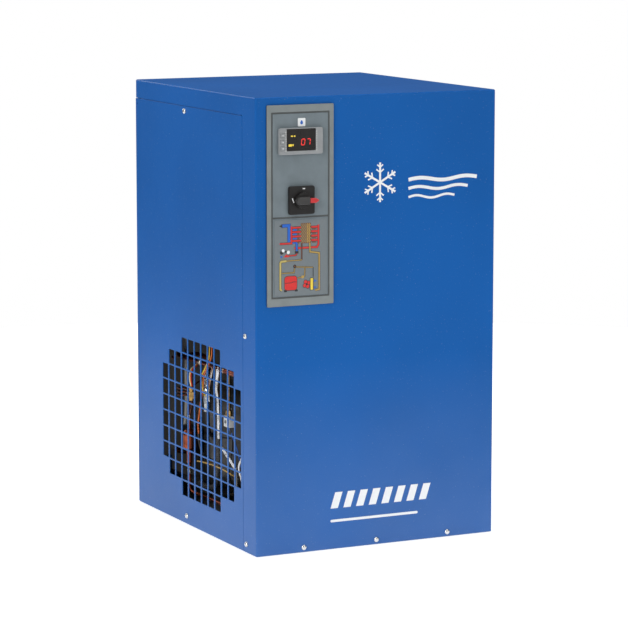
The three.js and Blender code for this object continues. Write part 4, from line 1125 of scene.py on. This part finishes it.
def filter_dryer():
    """The copper filter dryer, and the capillary tube that leaves it in a coil."""
    low, high = span("filter_dryer")
    x, y = (low + high).xy / 2
    bottom, top = low.z, high.z
    can = [(0, 0), (3.6, 0), (3.6, 16), (5.2, 18), (5.2, 39), (8, 41), (11, 44), (12, 48)]
    can = [(r, bottom + w) for r, w in can] + arc(3.6, top - 38, 8.4, 13, 0, 1, 6) + [(3.6, top), (0, top)]
    lathe("filter_can", can, "z", (x, y), COPPER, "copper", "filter_dryer", sides=40)
    turns = arc(x + 2, y + 20, 15, 15, -1, 11, 72)
    points = [(x, y, top + 0.3), (x, y, top + 18)]
    points += [(u, v, top + 30 + i / 4) for i, (u, v) in enumerate(turns)]
    points += [(-160, 84, 262), (-110, 72, 300), (-60, 60, 352), (-36.2, 48, 372)]
    tube("capillary_coil", route(points, 10, 3), 1.5, AGED_COPPER, "copper", "capillary_tube")


def pressure_switch():
    """The white switch body under its brass nut, with its grey reset button."""
    low, high = span("pressure_switch")
    centre, top = (low + high).xy / 2, low.z + 20
    bm = bmesh.new()
    brick(bm, low, (high.x, high.y, top), 1.6, 3)
    brick(bm, (low.x - 0.4, low.y + 3, low.z + 3), (low.x + 1, high.y - 3, top - 3), 0.3)
    piece("pressure_switch_case", bm, WHITE_PLASTIC, "white_plastic", "pressure_switch")
    bm = bmesh.new()
    hexagon(bm, "z", centre, top, top + 10, 5.8)
    append(bm, turned(rod(3, top + 9, high.z), "z", centre, 20))
    piece("pressure_switch_stem", bm, BRASS, "brass")
    low, high = span("pressure_reset_button")
    cap = [(0, low.x), (2.3, low.x), (2.9, low.x + 0.7), (2.9, high.x), (0, high.x)]
    lathe("reset_button_cap", cap, "x", (low + high).yz / 2, GREY_PLASTIC, "grey_plastic",
          "pressure_reset_button", "reset_button", sides=28)


STRAPS = {
    "strap_upright": ([(-203, -44, 292), (-203, -33, 254), (-204, -44, 238), (-204, -46, 168)], 4.4),
    "strap_long": ([(-200, -12, 289), (-200, 7, 246), (-200, 4, 226)], 3.6),
    "strap_short": ([(-198, -26, 289), (-198, -24, 262), (-198, -14, 236), (-198, -16, 216)], 2.6),
    "strap_low": ([(-206, -66, 154), (-206, -92, 142), (-206, -124, 126)], 3.4),
    "strap_corner": ([(-207, -149, 150), (-207, -134, 133), (-207, -152, 108)], 2.6),
}


def silver_brackets():
    """Bright zinc straps that hold the lines behind the grille."""
    for name, (points, half) in STRAPS.items():
        path = route(points, 14, 6)
        bm = bmesh.new()
        rings = []
        for place, before, after in zip(path, path[:1] + path, path[1:] + path[-1:]):
            across = (after - before).normalized().cross(Vector((1, 0, 0))).normalized() * half * MM
            deep = Vector((0.6, 0, 0)) * MM
            rings.append([place + across * a + deep * b for a, b in ((1, 1), (1, -1), (-1, -1), (-1, 1))])
        skin(bm, rings)
        sharp = [e for e in bm.edges if e.is_manifold and e.calc_face_angle(0) > math.radians(30)]
        bmesh.ops.bevel(bm, geom=sharp, offset=0.25 * MM, segments=2, affect="EDGES", profile=0.5,
                        clamp_overlap=True)
        piece(name, bm, BRIGHT_ZINC, "zinc")

    # Clips round the discharge line carry the upper straps, and legs on the base pan the lower ones.
    bm = bmesh.new()
    for name in ("strap_upright", "strap_long", "strap_short"):
        ((x, y, _), *_), half = STRAPS[name]
        ring = [(5.2, y - 3), (6.5, y - 3), (6.5, y + 3), (5.2, y + 3), (5.2, y - 3)]
        append(bm, turned(ring, "y", (RUN_X, RUN_Z), 32))
        brick(bm, (x + 0.4, y - half * 0.8, RUN_Z - 1.2), (RUN_X - 6, y + half * 0.8, RUN_Z + 0.2), 0.2)
    piece("strap_clips", bm, BRIGHT_ZINC, "zinc")
    legs = []
    for x, y, top in ((-205.4, -122, 131), (-206.4, -152, 113)):
        legs += [((x, y - 4, 32.2), (x + 1.2, y + 4, top)), ((x, y - 4, 32.2), (x + 16, y + 4, 33.6))]
    bricks("strap_legs", legs, ENAMEL, "black_paint", edge=0.2)


def wrapped_branch():
    """A small branch of the discharge line, with crumpled foil tape wound round its upper part."""
    shake = random.Random(11)
    foil = route([(-196, 20, 283), (-197, 19, 250), (-195, 22, 206)], 20, 14)
    wrapped = tube("foil_wrap", foil, 6.4, FOIL, "aluminium")
    wrapped.modifiers.clear()
    fine = bmesh.new()
    fine.from_mesh(wrapped.data)
    long = [e for e in fine.edges if e.calc_length() > 3.5 * MM]
    bmesh.ops.subdivide_edges(fine, edges=long, cuts=3)
    for vert in fine.verts:
        vert.co += Vector([shake.uniform(-0.7, 0.7) * MM for _ in range(3)])
    fine.to_mesh(wrapped.data)
    fine.free()
    wrapped.data.shade_flat()
    tail = [(-196, 21, 212), (-194, 24, 196), (-186, 40, 168), (-166, 72, 152), (-160, 82, 150)]
    tube("branch_tube", route(tail, 16), 3.6, RUBBER, "hose")


def lining():
    """Dark foam sheets stuck inside the back and right panels: they seal the condenser's sides and, as
    painted shade, darken the cabinet's inside.
    """
    back, right = BACK - SHEET - 0.4, RIGHT - 2 * SHEET - 1
    low, high = FLANGE_HEIGHTS[0], UNDER_DECK
    boxes = [
        ((-164, back - 6, low), (205, back, high)), ((-205, back - 6, 84), (-166, back, high)),
        ((right - 6, 132.6, low), (right, 232, high)), ((right - 6, -196, 352), (right, 132, high)),
        ((right - 6, -204, low), (right, -187, 351.5)),
    ]
    # Painted shade: these dark sheets darken the inside of the cabinet as seen through the grilles.
    bricks("seal_and_painted_shade_lining", boxes, FOAM, "foam", edge=1.2)


RUNS = {
    "fan_lead": ("black", 3.0, [
        (-90, -122, 440), (-60, -100, UNDER_DECK), (40, -90, 385), (60, -60, 330), (60, -40, 236)]),
    "compressor_lead": ("grey", 3.6, [
        (-186, 145, 140), (-180, 156, 162), (-175, 161, 190), (-175, 161, UNDER_DECK)]),
    "gauge_lead": ("orange", 1.4, [
        (-200, -10, UNDER_DECK), (-206, -23, 332), (-206, -22, 310), (-206, 14, 272), (-206, 15, 250),
        (-202, 34, 226), (-204, 44, 180), (-200, 50, 156)]),
    "gauge_lead_tail": ("black", 2.1, [
        (-200.5, 49, 161), (-200, 50, 150), (-192, 56, 124), (-165, 62, 104), (-144, 70, 98)]),
    "gauge_lead_yellow": ("yellow", 1.2, [
        (-196, -6, UNDER_DECK), (-209, -20, 334), (-209, -18, 306), (-209, 18, 270), (-208, 14, 248),
        (-202, 18, 234)]),
    "switch_lead_yellow": ("ochre", 1.2, [
        (-148, 80, 98), (-182, 64, 104), (-205, 54, 111), (-206, 14, 115), (-206, -26, 117),
        (-206, -60, 117), (-206, -83, 116), (-196, -96, 108), (-170, -70, 100), (-150, -20, 96)]),
    "switch_lead_black": ("black", 1.4, [
        (-189, -62, 191), (-186, -66, 160), (-178, -30, 100), (-160, 0, 80)]),
    "switch_lead_blue": ("blue", 1.2, [
        (-189, -56, 191), (-184, -84, 150), (-188, -120, 100), (-194, -176, 104), (-208, -208, 200),
        (-208, -214, UNDER_DECK)]),
    "valve_lead": ("red", 1.6, [(-100, -112, 440), (-40, -40, 420), (-20, 30, 390), (-52, 48, 345)]),
}


def sensor():
    """A brass sensor fitting on its branch tube."""
    centre = (-208, 62)
    bm = bmesh.new()
    hexagon(bm, "z", centre, 224, 236, 8)
    append(bm, turned([(0, 220), (4.5, 220), (4.5, 244), (3, 246), (0, 246)], "z", centre, 24))
    piece("sensor_fitting", bm, BRASS, "brass")
    neck = [(-208, 62, 222), (-208, 62, 208), (DRYER_X, 74, 196), (DRYER_X, DRYER_Y, 184)]
    tube("sensor_branch", route(neck, 8), 1.8, AGED_COPPER, "copper")


def wires():
    """Flexible leads clipped along the frame, from the electric box to the parts that they feed."""
    runs = dict(RUNS)
    # The sensor fitting's three leads bend under the discharge line and run along behind it.
    for i, colour in enumerate(("red", "yellow", "white")):
        y, z = 59.4 + 2.8 * i, 283.6 + 2.6 * i
        runs[f"fitting_lead_{colour}"] = (colour, 1.3, [
            (-208, y, 244), (-210, y + 3, 262), (-205, y + 7, 276), (-187, y + 20, 280), (-181, y + 44, z),
            (-181, 196, z), (-180, 222, z + 14), (-180, 219 + 3 * i, UNDER_DECK)])
    for name, (colour, radius, points) in runs.items():
        tube(name, route(points, 40, 10), radius, WIRE[colour], "switch_black")


def drain():
    """The hose from the drain solenoid to the back, and the valve's lever."""
    points = [(-76.3, 120, 352), (-106.3, 120, 352), (-179, 66, 300), (-180, 14, 240), (-180, 4, 130),
              (-185, 8, 66), (-185, 60, 62), (-185, BACK - 12, 62)]
    tube("drain_hose_tube", route(points, 40), 5, BRAID, "hose", "drain_hose")
    x, y, z = middle("drain_valve_lever").x, span("drain_valve_lever")[1].y, 356
    bm = turned([(0, y), (7, y), (7, y - 7), (6, y - 8), (0, y - 8)], "y", (x, z), 32)
    append(bm, slab(rounded((x, z - 20), (5, 22), 4.9, 6), [], "y", y - 8, y - 5, 0.8))
    piece("drain_lever_handle", bm, RED, "signal_red", "drain_valve_lever", "drain_lever")


# ---- Back ----


def bulkhead(name, node, centre, profile, sides, nuts, *look):
    """A turned fitting through the back panel, held by hexagonal nuts (low, high, corner radius, bore)."""
    bm = turned(profile, "y", centre, sides)
    for low, high, across, bore in nuts:
        hexagon(bm, "y", centre, low, high, across, bore)
    piece(name, bm, *look, node, angle=25)


def port(name, node, x):
    """A socket with ridges for its thread."""
    low, high = span(node)
    bore, outer, thread, end = 12.4, 17, 1.8, high.y
    profile = [(bore, low.y), (outer, low.y), (outer, end - 1.2), (outer - 1.2, end), (bore + 1.4, end),
               (bore + 0.2, end - 1.4)]
    along = end - 2
    while along > BACK + 2:
        profile += [(bore + 1.0, along), (bore, along - thread / 2)]
        along -= thread
    profile += [(bore, along), (bore, low.y)]
    bulkhead(name, node, (x, PORT_Z), profile, 64, [(BACK + GAP, BACK + 11, 22, 16.6)], STEEL, "steel")


def rear_fittings():
    port("air_inlet_socket", "air_inlet_port", PORT_X)
    port("air_outlet_socket", "air_outlet_port", -PORT_X)
    inside = BACK - SHEET - GAP

    low, high = span("drain_outlet_fitting")
    end = high.y
    barbed = [(4.2, low.y), (7, low.y), (7, end - 15), (5.8, end - 14.5)]
    for along in (end - 14, end - 9.6, end - 5.2):
        barbed += [(7.0, along + 0.1), (5.8, along + 4)]
    barbed += [(4.2, end), (4.2, low.y)]
    nuts = [(BACK + GAP, BACK + 8, 11, 6.8), (BACK - 9, inside, 10, 6.8)]
    bulkhead("drain_barb", "drain_outlet_fitting", DRAIN_OUT, barbed, 40, nuts, BRASS, "brass")

    low, high = span("cable_gland")
    end, root = high.y, BACK + 12
    dome = [(5.2, low.y), (8, low.y), (8, BACK + 9), (12, BACK + 9), (12, root)]
    dome += arc(7.8, root, 4.2, end - root, 0, 1, 8) + [(5.2, end), (5.2, low.y)]
    nuts = [(BACK + GAP, BACK + 9, 14, 7.8), (BACK - 8, inside, 13, 7.8)]
    bulkhead("cable_gland_body", "cable_gland", GLAND, dome, 48, nuts, BLACK, "switch_black")


def data_plate():
    """A blank rating plate with ruled lines and four rivets, on the back."""
    x, z = 120, 600
    plate("rating_plate", rounded((x, z), (45, 28), 2.5), [], "y", BACK, BACK + 0.6, ALUMINIUM, "aluminium",
          edge=0.2)
    low, high = BACK + 0.5, BACK + 0.7
    heights = [z + 17 - i * 7 for i in range(6)]
    rules = [((x - 38, low, v - 0.3), (x + 38, high, v + 0.3)) for v in heights]
    rules.append(((x + 6, low, z - 18), (x + 6.6, high, z + 17)))
    bricks("rating_plate_rules", rules, INK["black"], "aluminium", edge=0)
    rivet = [(0, BACK + 1.6), (1, BACK + 1.5), (1.8, BACK + 1.0), (2, BACK + 0.5), (0, BACK + 0.5)]
    bm = bmesh.new()
    for place in ((x - 41, z - 24), (x - 41, z + 24), (x + 41, z - 24), (x + 41, z + 24)):
        append(bm, turned(rivet, "y", place, 20))
    piece("rating_plate_rivets", bm, ALUMINIUM, "aluminium")


# ---- CAD nodes that stay ----

KEPT = {
    "base_pan": ZINC, "inner_frame": ZINC, "electric_box": ZINC, "switch_body": GREY_PLASTIC,
    "terminal_block": GREY_PLASTIC, "start_capacitor": ALUMINIUM, "compressor_stator": STEEL,
    "compressor_rotor": STEEL, "compressor_feet": ENAMEL, "compressor_terminal_cover": BLACK,
    "fan_shroud": ENAMEL, "hot_gas_valve": BRASS, "heat_exchanger_core": ALUMINIUM, "insulation_front": FOAM,
    "insulation_rear": FOAM, "drain_valve_body": BRASS, "drain_solenoid": BLACK,
}


def dress_kept_nodes():
    """Gives the nodes that stay a material and slightly rounded edges."""
    for name, material in KEPT.items():
        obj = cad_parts[name]
        obj.data.materials.clear()
        obj.data.materials.append(material)
        obj.data.shade_smooth()
        obj.modifiers.new("weld", "WELD").merge_threshold = 1e-5
        flat = obj.modifiers.new("flat", "DECIMATE")
        given(flat, decimate_type="DISSOLVE", angle_limit=math.radians(1))
        edge = obj.modifiers.new("edge", "BEVEL")
        given(edge, width=0.4 * MM, segments=2, limit_method="ANGLE", angle_limit=math.radians(35))
        obj.modifiers.new("normals", "WEIGHTED_NORMAL").keep_sharp = True


camera()
studio()
cover()
side_panel(-1, "left")
side_panel(1, "right")
for build in (
    back_panel, screws, control_board, badge, flow_diagram, controller, main_switch, front_graphics,
    compressor, condenser, fan, refrigerant_lines, filter_dryer, pressure_switch, silver_brackets,
    wrapped_branch, lining, sensor, wires, drain, rear_fittings, data_plate, dress_kept_nodes,
):
    build()
